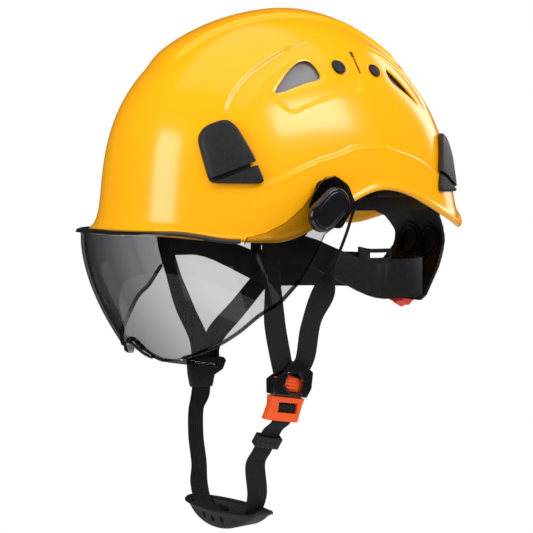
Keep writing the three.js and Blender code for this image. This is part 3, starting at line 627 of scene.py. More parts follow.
BAND_LINE = [
    (-90, 33), (-69.7, 38.7), (-61.4, 42), (-51.4, 46.7), (-40.8, 51.8), (-29.9, 55.9), (-18.5, 59.3),
    (-8.9, 62.5), (-6.3, 64.6), (9.9, 65.9), (25.4, 65.8), (28.7, 63.8), (40.7, 61.2), (55.7, 56.6),
    (69.1, 50.5), (87.4, 42.1), (97.4, 37.1), (115, 26),
]
FRONT_VENT = [(-52, 101), (-45, 110.5), (-36, 119), (-27, 124), (-20.5, 123.5), (-16.6, 113), (-31, 107.4)]
REAR_VENT = [(45, 121), (45, 113), (52, 107.8), (60, 103.2), (68, 98), (60, 108), (52, 116)]
KEYHOLE = [
    (14.9, 133), (18, 133), (18, 129.5), (17.4, 128.6), (17.6, 117), (15.6, 117), (15.4, 128.6),
    (14.9, 129.5),
]
PLUGS = {"front": (0, 121, 4.6), "rear": (31, 120, 4.2)}
PIVOT = (-28.5, 26.5)


def smooth_loop(points, count=120):
    closed = list(points[-2:]) + list(points) + list(points[:3])
    curve = catmull([(*p, 0) for p in closed], 40 * (len(closed) - 1) + 1)[80:-80, :2]
    return curve[:: max(1, len(curve) // count)]


def signed_distance(line, y, z):
    """Distance in the side view to an open line, positive below it when the line runs to the rear."""
    best, side = np.full(y.shape, 1e9), np.zeros(y.shape)
    for (y0, z0), (y1, z1) in zip(line[:-1], line[1:]):
        dy, dz = y1 - y0, z1 - z0
        t = np.clip(((y - y0) * dy + (z - z0) * dz) / (dy * dy + dz * dz), 0, 1)
        distance = np.hypot(y - y0 - t * dy, z - z0 - t * dz)
        below = np.sign((y - y0) * dz - (z - z0) * dy)
        side = np.where(distance < best, below, side)
        best = np.minimum(best, distance)
    return best * side


def loop_distance(loop, y, z):
    best = np.full(y.shape, 1e9)
    for (y0, z0), (y1, z1) in zip(loop, np.roll(loop, -1, 0)):
        dy, dz = y1 - y0, z1 - z0
        t = np.clip(((y - y0) * dy + (z - z0) * dz) / (dy * dy + dz * dz + 1e-9), 0, 1)
        best = np.minimum(best, np.hypot(y - y0 - t * dy, z - z0 - t * dz))
    return best


def line_ridge(distance, width):
    return np.exp(-(distance / width) ** 2)


def shell_detail(x, y, z):
    """How far the moulded features stand out from the plain dome."""
    half_width = 31 + 0.13 * (y + 60)
    crest = 2.4 * smooth((half_width - np.abs(x)) / 5) * smooth((z - 120) / 16)
    side = smooth((np.abs(x) - 38) / 8)
    upper, inner = signed_distance(UPPER_LINE, y, z), signed_distance(INNER_LINE, y, z)
    panel_line, band = signed_distance(PANEL_LINE, y, z), signed_distance(BAND_LINE, y, z)
    ends = smooth((y + 90) / 8) * smooth((86 - y) / 10)
    fade = smooth((-14 - y) / 16)
    sharp_part = smooth((y + 62) / 6) * smooth((22 - y) / 16)
    floor = smooth((-panel_line + 0.6) / (1.4 + 26 * (1 - sharp_part)))
    recess = -1.0 * smooth(upper / 2.2) * floor
    groove = -0.9 * smooth(upper / 1.8) * smooth((1 - inner) / 1.8) * fade
    lines = 0.4 * line_ridge(upper + 0.8, 0.9) + 0.4 * line_ridge(inner - 0.6, 0.9) * fade
    band_ends = smooth((y + 77) / 7) * smooth((104 - y) / 8)
    below = 1.5 * smooth((band + 0.6) / 2.6) * (1 - 0.6 * smooth((band - 12) / 16))
    band_edge = 0.5 * line_ridge(band - 1.6, 1.1)
    vents = 0
    for outline in (FRONT_VENT, REAR_VENT):
        vents = vents - 1.0 * (1 - smooth(loop_distance(smooth_loop(outline, 60), y, z) / 2.4))
    for py, pz, radius in PLUGS.values():
        vents = vents - 0.7 * (1 - smooth((np.hypot(y - py, z - pz) - radius - 0.3) / 1.6))
    vents = vents - 0.5 * (1 - smooth(loop_distance(np.array(KEYHOLE), y, z) / 1.2))
    return crest + side * (ends * (recess + groove + lines * floor) + band_ends * (below + band_edge) + vents)


def build_shell():
    columns, rows = 520, 190
    angle = np.linspace(0, 2 * math.pi, columns, endpoint=False)[:, None]
    rim = rim_height(shell_section(angle, 0, 0)[1])

    def layer(out, share, lift=0.0):
        top = HEIGHT + out
        z = rim + lift + (top - rim - lift) * share
        x, y = shell_section(angle, z, out)
        spread = rim_flare(y) * np.exp(-(z - rim) / 9)
        length = np.hypot(x, y) + 1e-6
        return np.stack([x + x / length * spread, y + y / length * spread, z + 0 * x], 2)

    share = np.sin(np.linspace(0, math.pi / 2, rows))[None, :] ** 1.05
    outer = layer(0, share, 1.1)
    normal = np.cross(np.roll(outer, -1, 0) - np.roll(outer, 1, 0), np.gradient(outer, axis=1))
    normal = unit(normal)
    normal[:, -1] = (0, 0, 1)
    x, y, z = outer[..., 0], outer[..., 1], outer[..., 2]
    rim_bead = 0.9 * np.exp(-((z - rim - 2.2) / 1.8) ** 2)
    detail = shell_detail(x, y, z) + rim_bead
    outer = outer + normal * detail[..., None]
    edge = [layer(-0.9, np.zeros((1, 1)), 0.0), layer(-2.1, np.zeros((1, 1)), 0.0)]
    inner = layer(-WALL, np.sin(np.linspace(0, math.pi / 2, 46))[None, :], 1.1)
    rings = np.concatenate([outer[:, ::-1], *edge, inner], 1)
    count = rings.shape[1]
    faces = grid_faces(columns, count - 1, True)
    shell = make("shell_look", rings.reshape(-1, 3), faces, SHELL, None, None, sharp=70)
    parts = [prism(smooth_loop(FRONT_VENT), 45, 105), prism(smooth_loop(REAR_VENT), 35, 105),
             prism(KEYHOLE, 45, 105)]
    turn = np.linspace(0, 2 * math.pi, 40, endpoint=False)
    for py, pz, radius in [*PLUGS.values(), (*PIVOT, 4.0)]:
        ring = np.stack([py + (radius + 0.4) * np.cos(turn), pz + (radius + 0.4) * np.sin(turn)], 1)
        parts.append(prism(ring, 60, 118))
    cut(shell, cutter(parts, SHELL))
    shade(shell, 55)
    finish(shell, "hat", "shell")


add_floor()
build_shell()


# ---------------------------------------------------------------- vents, plugs and lamp clips
def build_grilles():
    for end, (y0, y1, z0, z1) in {"front": (-57, -11, 96, 129), "rear": (40, 73, 93, 126)}.items():
        y, z = np.meshgrid(np.linspace(y0, y1, 28), np.linspace(z0, z1, 22), indexing="ij")
        sheet = [np.stack([shell_side_x(y, z, out), y, z], 2) for out in (-4.8, -6)]
        name = f"vent_grille_{end}_left"
        left = make(name + "_look", *skin(*sheet), MESH, "hat", "vent_mesh", name, sharp=60)
        name = f"vent_grille_{end}_right"
        mirror_copy(left, name + "_look", "hat", name)


def on_shell(u, v, height):
    return np.stack([shell_side_x(u, v, height), u, v], 1)


def build_plugs():
    turn = np.linspace(0, 2 * math.pi, 48, endpoint=False)
    for end, (y, z, radius) in PLUGS.items():
        ring = np.stack([y + radius * np.cos(turn), z + radius * np.sin(turn)], 1)
        steps = [(0, -2.6), (0, 0.1), (0.3, 0.5), (0.9, 0.75), (1.3, 0.55), (1.7, 0.55), (2.2, 0.8),
                 (3.2, 0.85)]
        left = make(f"vent_plug_{end}_left_look", *lofted(ring, steps, on_shell), GRAIN, "hat", "matt_black",
                    f"vent_plug_{end}_left")
        mirror_copy(left, f"vent_plug_{end}_right_look", "hat", f"vent_plug_{end}_right")


CLIP_OUTLINE = [
    (-104.5, 67), (-103.3, 73), (-99, 78.5), (-90, 82.3), (-86.5, 81.8), (-83, 77.5), (-75.4, 59.5),
    (-69.6, 41.4), (-72, 39.4), (-99.6, 39.8), (-101.2, 44),
]
CLIP_GROOVE = [
    (-103, 42.5), (-79.5, 52.6), (-70, 56), (-68, 56.6), (-68, 53.6), (-70, 53), (-78, 49.8), (-99, 40.8),
    (-103, 39),
]
CLIP_SLOTS = [
    [(-106, 41.3), (-94, 46.3), (-94, 43), (-99, 40.8), (-106, 37.6)],
    [(-77, 53.5), (-66, 57.3), (-66, 54.2), (-77, 50.3)],
]


def build_clips():
    for end in ("front", "rear"):
        turned, moved = ((1, 1), (0, 0)) if end == "front" else ((-1, 1), (3, -5))
        place_on = lambda points: np.array(points, float) * turned + moved
        outline = rounded(place_on(CLIP_OUTLINE), 3.4, 7)
        steps = [(0.3, 0.6), (0, 0.9), (0, 3.2), (0.25, 3.9), (0.8, 4.35), (1.5, 4.55), (2.2, 4.6)]
        name = f"lamp_clip_{end}_left"
        shape = lofted(outline, steps, on_shell, (0.85, 0.7, 0.55, 0.4, 0.25, 0.1))
        clip = make(name + "_look", *shape, GRAIN, None, None)
        for gap, depth in [(CLIP_GROOVE, 2), (CLIP_SLOTS[0], -3), (CLIP_SLOTS[1], -3)]:
            groove = lofted(place_on(gap), [(0, depth), (0, 9)], on_shell)
            cut(clip, make("cutter", *groove, GRAIN, None, None), solver="FAST")
        shade(clip, 40)
        finish(clip, "hat", name)
        name = f"lamp_clip_{end}_right"
        mirror_copy(clip, name + "_look", "hat", name)


build_grilles()
build_plugs()
build_clips()

# ---------------------------------------------------------------- visor
LENS_OUTLINE = [
    (-84, 4.3), (-72, 7.5), (-59, 14.4), (-48, 24), (-41, 33), (-37, 39), (-32, 44), (-26, 45), (-20, 40),
    (-15, 28), (-16, 19), (-24, 12), (-33, 6), (-39, -6), (-44.5, -15.5), (-50, -25), (-56, -32),
    (-63.6, -40.4), (-74.4, -47.7), (-85.4, -59.2), (-93.5, -67), (-99.5, -71.9), (-104.7, -76.5),
    (-108.3, -80.2), (-112, -83), (-158, -83),
]
LENS_CREASE = [(-86, 10), (-82.2, 1.4), (-77, -12), (-70, -27), (-63.6, -40.4), (-60, -48)]
NOTCH = [(0, -70.6), (5, -71.8), (9, -74.8), (13, -77.8), (20, -80.6), (30, -83)]


LENS_POWER = 2.4


def lens_size(z):
    """The lens's half-width and its front reach at a height."""
    drop = np.maximum(0.0, -z)
    return 119.2 - 0.0012 * drop ** 2, 151.4 - 0.0182 * drop ** 1.715


def lens_section(angle, z, out):
    half_width, size = lens_size(z)
    return plan_point(angle, half_width + out, size + out, size + out, LENS_POWER)


def lens_top(y):
    return -0.3 + 4.9 * smooth((-y - 92) / 36)


def lens_grid(out, columns=170, rows=80):
    angle = -math.pi * (0.012 + 0.976 * np.linspace(0, 1, columns))[:, None]
    z = np.linspace(-90, 50, rows)[None, :]
    _, y = lens_section(angle, z, 0)
    fold = -0.9 * smooth(0.5 + 0.2 * signed_distance(LENS_CREASE, y, z + 0 * y))
    x, y = lens_section(angle, z, out + fold)
    return np.stack([x, y, z + 0 * x], 2)


def front_space(u, v, height):
    return np.stack([u, height, v], 1)


def notch_line(lift):
    half = [(x, z + lift) for x, z in NOTCH]
    return [(-x, z) for x, z in half[:0:-1]] + half


def edge_cutter(vertices, faces):
    block = make("cutter", vertices, faces, LENS, None, None)
    block.data.materials.append(LENS_EDGE)
    block.data.polygons.foreach_set("material_index", [1] * len(block.data.polygons))
    return block


def build_lens():
    lens = make("visor_lens_look", *skin(lens_grid(0), lens_grid(-2.2)), LENS, None, None)
    lens.data.materials.append(LENS_EDGE)
    brow = [(y, float(lens_top(y))) for y in range(-158, -84, 3)]
    cut(lens, edge_cutter(*prism(brow + LENS_OUTLINE, -130, 130)), "INTERSECT")
    cut(lens, edge_cutter(*prism(notch_line(0) + [(30, -95), (-30, -95)], -170, -60, front_space)))
    turn = np.linspace(0, 2 * math.pi, 40, endpoint=False)
    ring = np.stack([PIVOT[0] + 4.4 * np.cos(turn), PIVOT[1] + 4.4 * np.sin(turn)], 1)
    cut(lens, edge_cutter(*prism(ring, -130, 130)))
    shade(lens, 40)
    finish(lens, "visor", "visor_lens")


def build_lip():
    outline = rounded([(-3.2, 0.6), (2.8, 0.6), (2.7, 1.4), (1.6, 2.9), (-1.4, 3.8), (-3.2, 3.8)], 0.5, 4)
    loops = []
    for angle in np.radians(np.linspace(-32, -148, 150)):
        height = float(lens_top(lens_section(angle, 0.0, 0)[1]))
        loops.append([(*lens_section(angle, 0.0, out), height + lift) for out, lift in outline])
    make("visor_lip_look", *swept(loops), GLOSS, "visor", "gloss_black", "visor_lip", sharp=50)


CAP_CENTRE = (-32.9, 22.3)


def stadium(half, radius, count=22):
    end = np.linspace(-math.pi / 2, math.pi / 2, count)
    arc = np.stack([half + radius * np.cos(end), radius * np.sin(end)], 1)
    points = np.concatenate([arc, -arc])
    c = math.cos(math.pi / 4)
    return np.stack([CAP_CENTRE[0] + c * (points[:, 0] - points[:, 1]), CAP_CENTRE[1] + c * points.sum(1)], 1)


def build_pivots():
    steps = [(0.7, 119.4), (0, 120.1), (0, 123.4), (0.3, 124.5), (0.9, 125.3), (1.6, 125.75), (2.3, 125.8),
             (2.5, 125.5), (2.9, 125.5), (3.1, 125.85), (3.8, 126), (6.5, 126), (9, 126)]
    shape = lofted(stadium(6.4, 10.3), steps, side_space)
    cap = make("pivot_cap_left_look", *shape, GLOSS, "visor", "gloss_black", "pivot_cap_left", sharp=60)
    mirror_copy(cap, "pivot_cap_right_look", "visor", "pivot_cap_right")
    plate = [(-21.6, 44.8), (-11.9, 38.8), (-8.7, 31.4), (-6.1, 26), (-17.2, 9.6), (-21.8, 9.6), (-35, 13),
             (-43, 24), (-36, 41)]
    steps = [(0, 112.2), (0, 112.7), (0.7, 112.8), (0.7, 113.3), (1.5, 113.4), (1.5, 113.8), (2.3, 113.9)]
    for side, sign in (("left", 1), ("right", -1)):
        points, faces = lofted(rounded(plate, 2.5), steps, side_space)
        name = f"visor_bracket_{side}"
        make(name + "_look", points * (sign, 1, 1), faces, GLOSS, "hat", "gloss_black", name, sharp=30)
        refined(f"pivot_pin_{side}", "hat", STEEL, 0.4)


build_lens()
build_lip()
build_pivots()


def lens_x(y, z):
    """The lens's outer half-width at a depth and a height."""
    half_width, size = lens_size(z)
    return half_width * max(0.0, 1 - min(1.0, -y / size) ** LENS_POWER) ** (1 / LENS_POWER)


def lens_y(x, z):
    half_width, size = lens_size(z)
    return -size * max(0.0, 1 - min(1.0, abs(x) / half_width) ** LENS_POWER) ** (1 / LENS_POWER)


def edge_strip(path, section, taper=None):
    """A profile carried along a line on the lens; its first axis points out of the lens, its second up."""
    path = np.asarray(path, float)
    tangent = unit(np.gradient(path, axis=0))
    outward = unit(np.stack([path[:, 0] / 119 ** 2, path[:, 1] / 150 ** 2, 0 * path[:, 0]], 1))
    outward = unit(outward - tangent * np.sum(outward * tangent, 1)[:, None])
    up = np.cross(tangent, outward)
    up = up * np.sign(up[:, 2:] + 1e-9)
    size = np.ones(len(path)) if taper is None else taper
    scaled = section[None] * size[:, None, None]
    return swept(path[:, None] + outward[:, None] * scaled[..., :1] + up[:, None] * scaled[..., 1:])


def build_lens_rim():
    low = LENS_OUTLINE[LENS_OUTLINE.index((-50, -25)):-2]
    side = [(lens_x(y, z), y, z) for y, z in low]
    front = [(x, lens_y(x, -83), -83) for x in (76, 62, 48, 36)]
    arch = [(x, lens_y(x, z), z) for x, z in NOTCH[::-1]]
    half = side + front + arch
    line = half + [(-x, y, z) for x, y, z in half[-2::-1]]
    section = rounded([(-2.5, -0.5), (0.35, -0.5), (0.35, 1.5), (-0.3, 2.0), (-1.9, 2.0), (-2.5, 1.5)], 0.4, 3)
    strip = edge_strip(catmull(line, 360), section)
    make("visor_lens_rim", *strip, LENS_EDGE, "visor", "lens_smoke", sharp=50)


def build_nose_pad():
    arch = [(x, lens_y(x, z) + 1.1, z - 0.4) for x, z in NOTCH[:5]]
    line = [(-x, y, z) for x, y, z in arch[:0:-1]] + arch
    section = rounded([(-2.9, -2.6), (2.6, -2.6), (3.2, -0.5), (2.5, 2.4), (-2.6, 2.4)], 1.5, 5)
    taper = 0.55 + 0.45 * np.sin(np.linspace(0.06, math.pi - 0.06, 90)) ** 0.6
    strip = edge_strip(catmull(line, 90), section, taper)
    make("nose_pad_look", *strip, GLOSS, "visor", "soft_black", "nose_pad", sharp=60)


build_lens_rim()
build_nose_pad()

# ---------------------------------------------------------------- head harness
CRADLE_LINE = [
    (-50, 97), (-36, 104.4), (-20, 112.9), (-8, 120.2), (2, 123.6), (12, 122.6), (22, 118.9), (38, 116.6),
]
RECESS = {"x": 14, "z": -4, "radius": 9.5}


def cradle_face(x, z):
    line = catmull([(0, y, height) for height, y in CRADLE_LINE], 400)
    return np.interp(z, line[:, 2], line[:, 1]) - (0.0004 + 0.0058 * smooth((z + 10) / 30)) * x * x


def build_cradle_rims():
    """Two raised rings round each recess in the cradle's inner face."""
    turn = np.linspace(0, 2 * math.pi, 48, endpoint=False)
    rings = []
    for x in (-RECESS["x"], RECESS["x"]):
        for radius in (RECESS["radius"] + 0.9, RECESS["radius"] + 4.2):
            loops = []
            for offset, lift in [(-0.8, 0.1), (-0.5, -1.1), (0, -1.3), (0.5, -1.1), (0.8, 0.1)]:
                u = x + (radius + offset) * np.cos(turn)
                v = RECESS["z"] + (radius + offset) * np.sin(turn)
                loops.append(np.stack([u, cradle_face(u, v) + lift, v], 1))
            rings.append(swept(np.array(loops).transpose(1, 0, 2), True))
    make("nape_cradle_rims", *several(rings), MATT, "hat", "matt_black")


for name in ("headband", "nape_band_left", "nape_band_right", "nape_cradle"):
    refined(name, "hat", MATT, 0.45)
for name in ("adjuster_housing", "adjuster_cover"):
    refined(name, "hat", MATT, 0.4)
build_cradle_rims()
for end in ("front", "side", "rear"):
    for side in ("left", "right"):
        refined(f"harness_anchor_{end}_{side}", "hat", MATT, 0.5)
refined("adjuster_wheel", "wheel", WHEEL, 0.7)
refined("adjuster_pinion", "wheel", WHEEL, 0.2)
refined("rack_left", "rack_left", MATT, 0.3)
refined("rack_right", "rack_right", MATT, 0.3)


def crown_stations(from_angle, to_angle, top):
    start, end = (np.array(shell_section(np.float64(a), 46.0, -WALL - 9.5)) for a in (from_angle, to_angle))
    along = (end - start) / np.linalg.norm(end - start)
    stations = []
    for turn in np.linspace(-math.pi / 2, math.pi / 2, 21):
        x, y = start + (end - start) * (1 + math.sin(turn)) / 2
        stations.append(((x, y, 46 + (top - 46) * max(0, math.cos(turn))), (-along[1], along[0], 0)))
    return stations


side_angle, corner_angle = math.radians(13), math.radians(52)
CROWN = {
    "cross": (side_angle, math.pi - side_angle, 107),
    "left": (corner_angle, corner_angle + math.pi, 120),
    "right": (math.pi - corner_angle, -corner_angle, 123.5),
}
for name, span in CROWN.items():
    webbing(f"crown_strap_{name}_look", crown_stations(*span), 20, 1.1, "hat", f"crown_strap_{name}")


def inflated(name, node_name, voxel, pressure, cap, frames=20):
    """A cushion: the CAD solid drawn in a little, then blown up as cloth, each point's travel limited."""
    obj = bpy.data.objects.new(name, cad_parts[node_name].data.copy())
    scene.collection.objects.link(obj)
    tidy(obj, FOAM)
    remesh = obj.modifiers.new("remesh", "REMESH")
    remesh.mode, remesh.voxel_size = "VOXEL", voxel * MM
    apply_modifiers(obj)
    start = np.array([v.co for v in obj.data.vertices])
    normal = np.array([v.normal for v in obj.data.vertices])
    start = start - normal * 0.8 * MM
    obj.data.vertices.foreach_set("co", start.ravel())
    cloth = obj.modifiers.new("cloth", "CLOTH")
    cloth.settings.use_pressure = True
    cloth.settings.uniform_pressure_force = pressure
    cloth.settings.effector_weights.gravity = 0
    for step in range(1, frames + 1):
        scene.frame_set(step)
    shown = obj.evaluated_get(bpy.context.evaluated_depsgraph_get())
    travel = np.array([v.co for v in shown.data.vertices]) - start
    obj.modifiers.clear()
    scene.frame_set(1)
    length = np.linalg.norm(travel, axis=1, keepdims=True) + 1e-9
    start = start + travel * np.minimum(1, cap * MM / length)
    obj.data.vertices.foreach_set("co", start.ravel())
    divide = obj.modifiers.new("divide", "SUBSURF")
    divide.levels = divide.render_levels = 1
    apply_modifiers(obj)
    return obj


def sew(obj, channels, depth):
    """Presses stitched channels into a pad; channels gives each point's distance to the nearest, in mm."""
    points = np.array([v.co for v in obj.data.vertices]) / MM
    normal = np.array([v.normal for v in obj.data.vertices])
    press = depth * np.exp(-(channels(points) / 1.3) ** 2)
    obj.data.vertices.foreach_set("co", ((points - normal * press[:, None]) * MM).ravel())
    shade(obj, 80)


def nearest(values, marks):
    return np.min(np.abs(values[:, None] - np.asarray(marks, float)[None, :]), axis=1)


brow_pad = inflated("brow_pad_look", "brow_pad", 1.6, 2.5, 1.1)
sew(brow_pad, lambda p: np.minimum(nearest(p[:, 0], range(-80, 81, 16)), nearest(p[:, 2], (12, 33))), 0.7)
nape_pad = inflated("nape_pad_look", "nape_pad", 1.8, 2.5, 1.2)
sew(nape_pad, lambda p: np.minimum(nearest(p[:, 0], (-34, -17, 0, 17, 34)), nearest(p[:, 2], (-39, -20))), 0.8)
crown_pad = inflated("crown_pad_look", "crown_pad", 1.5, 2.0, 0.8)
sew(crown_pad, lambda p: nearest(np.hypot(p[:, 0] / 1.15, p[:, 1] / 1.35), (9, 18, 27)), 0.6)
for pad, name in ((brow_pad, "brow_pad"), (nape_pad, "nape_pad"), (crown_pad, "crown_pad")):
    finish(pad, "hat", name)

# ---------------------------------------------------------------- chin harness
FACING, EDGE_ON = (0, 1, 0), (0.883, -0.469, 0)
TWISTED = (-0.35, 0.94, 0)
FRONT_STRAP = [
    ((88, -58, 30), FACING), ((88.5, -58.5, -2), TWISTED), ((83, -54, -28), TWISTED),
    ((74, -47.5, -56), FACING), ((65, -37.8, -82.2), FACING),
]
FRONT_RIGHT = [((-x, y, z), side) for (x, y, z), side in FRONT_STRAP[:-1]]
FRONT_RIGHT += [((-66, -39.6, -80), FACING), ((-64.2, -38.5, -93.2), FACING)]
INTO_BUCKLE = [((62.8, -34.6, -91), FACING)], [((63.2, -21.5, -91), FACING)]
INTO_SLIDER = [((-64, -38.3, -101), FACING)], [((-66, -30, -101), FACING)]
REAR_LEFT = [
    ((93.5, 14, 38), EDGE_ON), ((93.5, 6, 26), EDGE_ON), ((93.5, -2.2, 5), EDGE_ON),
    ((94, -11, -14), EDGE_ON), ((89, -17, -34), (0.7, 0.6, 0)), ((75, -19.4, -58), FACING),
    ((65.5, -18.6, -83), FACING),
]
DOWN = (0, 0.7, -0.7)
REAR_RIGHT = [
    ((-79, 77, 27), DOWN), ((-91, 60, -2), DOWN), ((-90, 38, -26), DOWN), ((-79, 2, -58), (0, 0.75, -0.66)),
    ((-70, -23, -78), (0, 0.95, -0.3)), ((-68.6, -28, -88), FACING), ((-68.4, -28.4, -94), FACING),
]
TURN = math.radians(12)
ARC_CENTRE, ARC_RADIUS = (-1.5, -47, -147.2), 61
ACROSS_ARC = (-math.sin(TURN), math.cos(TURN), 0)
KEEPER_AT = np.array((51.5, -41.5, -141.8))
KEEPER_ALONG = unit(np.array((-0.472, -0.219, -0.855)))


def arc_point(degrees, radius, across=0.0):
    angle = np.radians(degrees)
    along, c, s = radius * np.sin(angle), math.cos(TURN), math.sin(TURN)
    x0, y0, z0 = ARC_CENTRE
    return np.stack([x0 + along * c - across * s, y0 + along * s + across * c, z0 - radius * np.cos(angle)], -1)


LOWER = [
    ((-64, -38.4, -112), FACING), ((-63.8, -38.8, -121.4), FACING), ((-62, -43.5, -133), TWISTED),
    ((-54.5, -47.5, -153), TWISTED), ((-44.5, -49.5, -174), TWISTED), ((-38, -52.5, -188), ACROSS_ARC),
]
LOWER += [(tuple(arc_point(degrees, ARC_RADIUS)), ACROSS_ARC) for degrees in range(-27, 28, 6)]
LOWER += [((36, -41.5, -184), FACING)]
LOWER += [(tuple(KEEPER_AT + KEEPER_ALONG * distance), FACING) for distance in (20, 10, 0, -9.5)]
LOWER += [((61.8, -36, -127.2), FACING), ((63.2, -35, -121), FACING)]

STRAP = {"width": 16, "thickness": 1.5}
CHIN_STRAPS = {
    "front_left": FRONT_STRAP + INTO_BUCKLE[0],
    "front_right": FRONT_RIGHT + INTO_SLIDER[0],
    "rear_left": REAR_LEFT + INTO_BUCKLE[1],
    "rear_right": REAR_RIGHT + INTO_SLIDER[1],
}
for place_name, stations in CHIN_STRAPS.items():
    name = f"chin_strap_{place_name}"
    webbing(name + "_look", stations, **STRAP, body="hat", replaced=name)
webbing("lower_chin_strap_look", LOWER, **STRAP, body="chin_loop", replaced="lower_chin_strap", steps=260)

BUCKLE, TILT = np.array((62.5, -29.5, -98)), math.radians(-9)


def to_buckle(points):
    """From the buckle's own frame, where x is the thickness, y the width and z up."""
    x, y, z = np.asarray(points, float).T
    c, s = math.cos(TILT), math.sin(TILT)
    return np.stack([x, y * c - z * s, y * s + z * c], 1) + BUCKLE


def buckle_space(u, v, height):
    return to_buckle(np.stack([height, u, v], 1))


def ball(centre, radius, squash_axis, flat=0.6, rings=8, around=16):
    """A flattened bead: centre, radius and the direction that it is flattened along."""
    axis = unit(np.asarray(squash_axis, float))
    side = unit(np.cross(axis, (0.3, 0.5, 0.8)))
    other = np.cross(axis, side)
    loops = []
    for polar in np.linspace(0.12, math.pi - 0.12, rings):
        turn = np.linspace(0, 2 * math.pi, around, endpoint=False)
        ring = np.cos(turn)[:, None] * side + np.sin(turn)[:, None] * other
        loops.append(centre + radius * (math.sin(polar) * ring + flat * math.cos(polar) * axis))
    return swept(loops)


def bar_shape(y0, y1, z, half, low, high):
    outline = rounded([(y0, z - half), (y1, z - half), (y1, z + half), (y0, z + half)], 0.5, 4)
    return lofted(outline, [(0, low), (0, high - 0.3), (0.35, high)], buckle_space)


def build_buckle():
    refined("junction_slider", "hat", MATT, 1.0)
    refined("buckle_frame", "hat", GLOSS, 0.9)
    refined("buckle_insert", "chin_loop", ORANGE, 0.6)
    refined("buckle_bar", "chin_loop", MATT, 0.4)
    refined("release_button", "button", ORANGE, 0.4)
    refined("button_spring", "chin_loop", STEEL, 0.1)
    ribs = [bar_shape(-3.6, 4.6, z, 0.65, 2.6, 3.7) for z in (-5.6, -3.2, -0.8, 1.6)]
    make("button_ribs", *several(ribs), ORANGE, "button", "buckle_orange")
    window = rounded([(-5.8, 5.4), (3.6, 6.2), (9, 1), (8.2, -8.8), (-2.4, -9.2), (-8.2, -3.4)], 1.2)
    outer, inner = inset(window, -0.4), inset(window, 1.1)
    rings = [(outer, 5.9), (outer, 6.5), (inset(window, 0.1), 6.85), (inset(window, 0.7), 6.85),
             (inner, 6.4), (inner, 5.9)]
    loops = [buckle_space(ring[:, 0], ring[:, 1], np.full(len(ring), x)) for ring, x in rings]
    closed = np.swapaxes(np.array(loops), 0, 1)
    make("buckle_window_rim", *swept(closed, True), GLOSS, "hat", "matt_black")
    turns = np.radians(np.linspace(-150, 165, 16))
    wrap = [(-1.6, -27.5)] + [(-2.7 * math.cos(t), -19.4 - 2.7 * math.sin(t)) for t in turns] + [(0.6, -24)]
    wide = tuple(to_buckle([(0, 1, 0)])[0] - BUCKLE)
    stations = [(tuple(to_buckle([(x, -0.5, z)])[0]), wide) for x, z in wrap]
    webbing("strap_wrap", stations, 13.2, 1.4, "chin_loop", steps=80)


def build_keeper():
    refined("strap_keeper", "keeper", RUBBER, 1.2)
    wide = unit(np.array((0, 1, 0)) - KEEPER_ALONG * KEEPER_ALONG[1])
    normal = np.cross(KEEPER_ALONG, wide)
    normal = normal if normal[0] > 0 else -normal
    beads = [ball(KEEPER_AT + wide * shift + normal * 3.1, 1.5, normal) for shift in (-6.6, -2.2, 2.2, 6.6)]
    make("keeper_beads", *several(beads), RUBBER, "keeper", "matt_black")


def cup_surface(out, columns=90, rows=44):
    """The chin cup's wall: a shallow boat, flat under the strap, with sides that rise to a level rim."""
    share = np.linspace(-1, 1, columns)[:, None]
    across = np.linspace(-1, 1, rows)[None, :]
    degrees = 1 + 40 * share + 0 * across
    half = 15 * np.maximum(0, 1 - share ** 2) ** 0.35 + 1
    rise = np.maximum(0, 62.65 - 50 / np.cos(np.radians(degrees)))
    side = smooth((np.abs(across) - 0.64) / 0.36)
    return arc_point(degrees, 62.65 + out - rise * side, half * across)


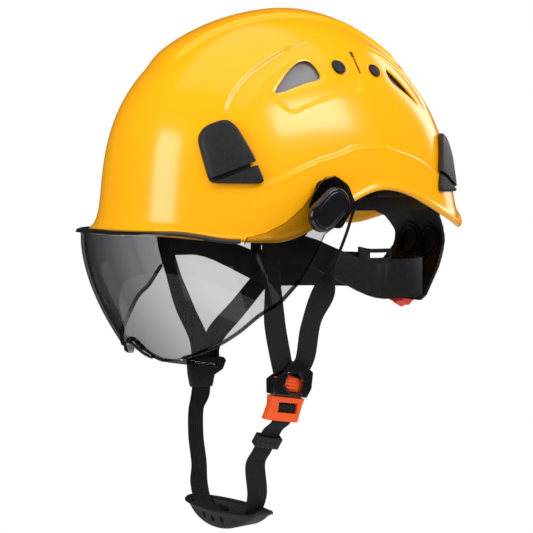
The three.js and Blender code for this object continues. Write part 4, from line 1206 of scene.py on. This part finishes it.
def build_cup():
    cup = make("chin_cup_look", *skin(cup_surface(3), cup_surface(0.2)), RUBBER, None, None)
    turn = np.linspace(0, 2 * math.pi, 24, endpoint=False)
    along, across = np.array(arc_point(90.0, 1) - arc_point(0.0, 0)), np.array(ACROSS_ARC)
    for degrees in (-10.5, -0.5, 10):
        centre = arc_point(degrees, 58.6)
        loops = []
        for reach_out in (-22, -9.5):
            ring = centre + across * reach_out
            tall = np.stack([1.9 * np.cos(turn), 0 * turn, 2.9 * np.sin(turn)], 1)
            loops.append(ring + tall[:, :1] * np.array((math.cos(TURN), math.sin(TURN), 0)) + tall * (0, 0, 1))
        cut(cup, make("cutter", *swept(loops), RUBBER, None, None))
    shade(cup, 45)
    finish(cup, "cup", "chin_cup")
    lip = []
    for share in np.linspace(0, 2 * math.pi, 160, endpoint=False):
        s = math.sin(share)
        degrees = 1 + 40 * s
        half = (15 * max(0, 1 - s * s) ** 0.35 + 1) * math.copysign(1, math.cos(share))
        rise = max(0, 62.65 - 50 / math.cos(math.radians(degrees)))
        centre = arc_point(degrees, 62.65 + 1.4 - rise, half)
        lip.append(centre)
    lip = np.array(lip)
    tangent = unit(np.roll(lip, -1, 0) - np.roll(lip, 1, 0))
    outward = unit(lip - np.array((*ARC_CENTRE[:2], lip[:, 2].mean())))
    outward = unit(outward - tangent * np.sum(outward * tangent, 1)[:, None])
    up = np.cross(tangent, outward)
    section = rounded([(-1.6, -1.0), (1.9, -0.8), (2.3, 0.2), (1.9, 1.0), (-1.6, 1.2)], 0.7, 4)
    loops = lip[:, None] + outward[:, None] * section[None, :, :1] + up[:, None] * section[None, :, 1:]
    make("chin_cup_lip", *swept(loops, True), RUBBER, "cup", "soft_black", sharp=60)
    bridges = []
    outline = rounded([(-11.8, 62.9), (-11.8, 58.4), (11.8, 58.4), (11.8, 62.9), (9.2, 62.9), (9.2, 59.9),
                       (-9.2, 59.9), (-9.2, 62.9)], 0.6, 3)
    for start in (-21, 15):
        side = []
        for degrees in np.linspace(start, start + 8, 5):
            side.append([arc_point(degrees, radius, w) for w, radius in outline])
        bridges.append(swept(side))
    make("chin_cup_bridges", *several(bridges), RUBBER, "cup", "soft_black")


build_buckle()
build_keeper()
build_cup()
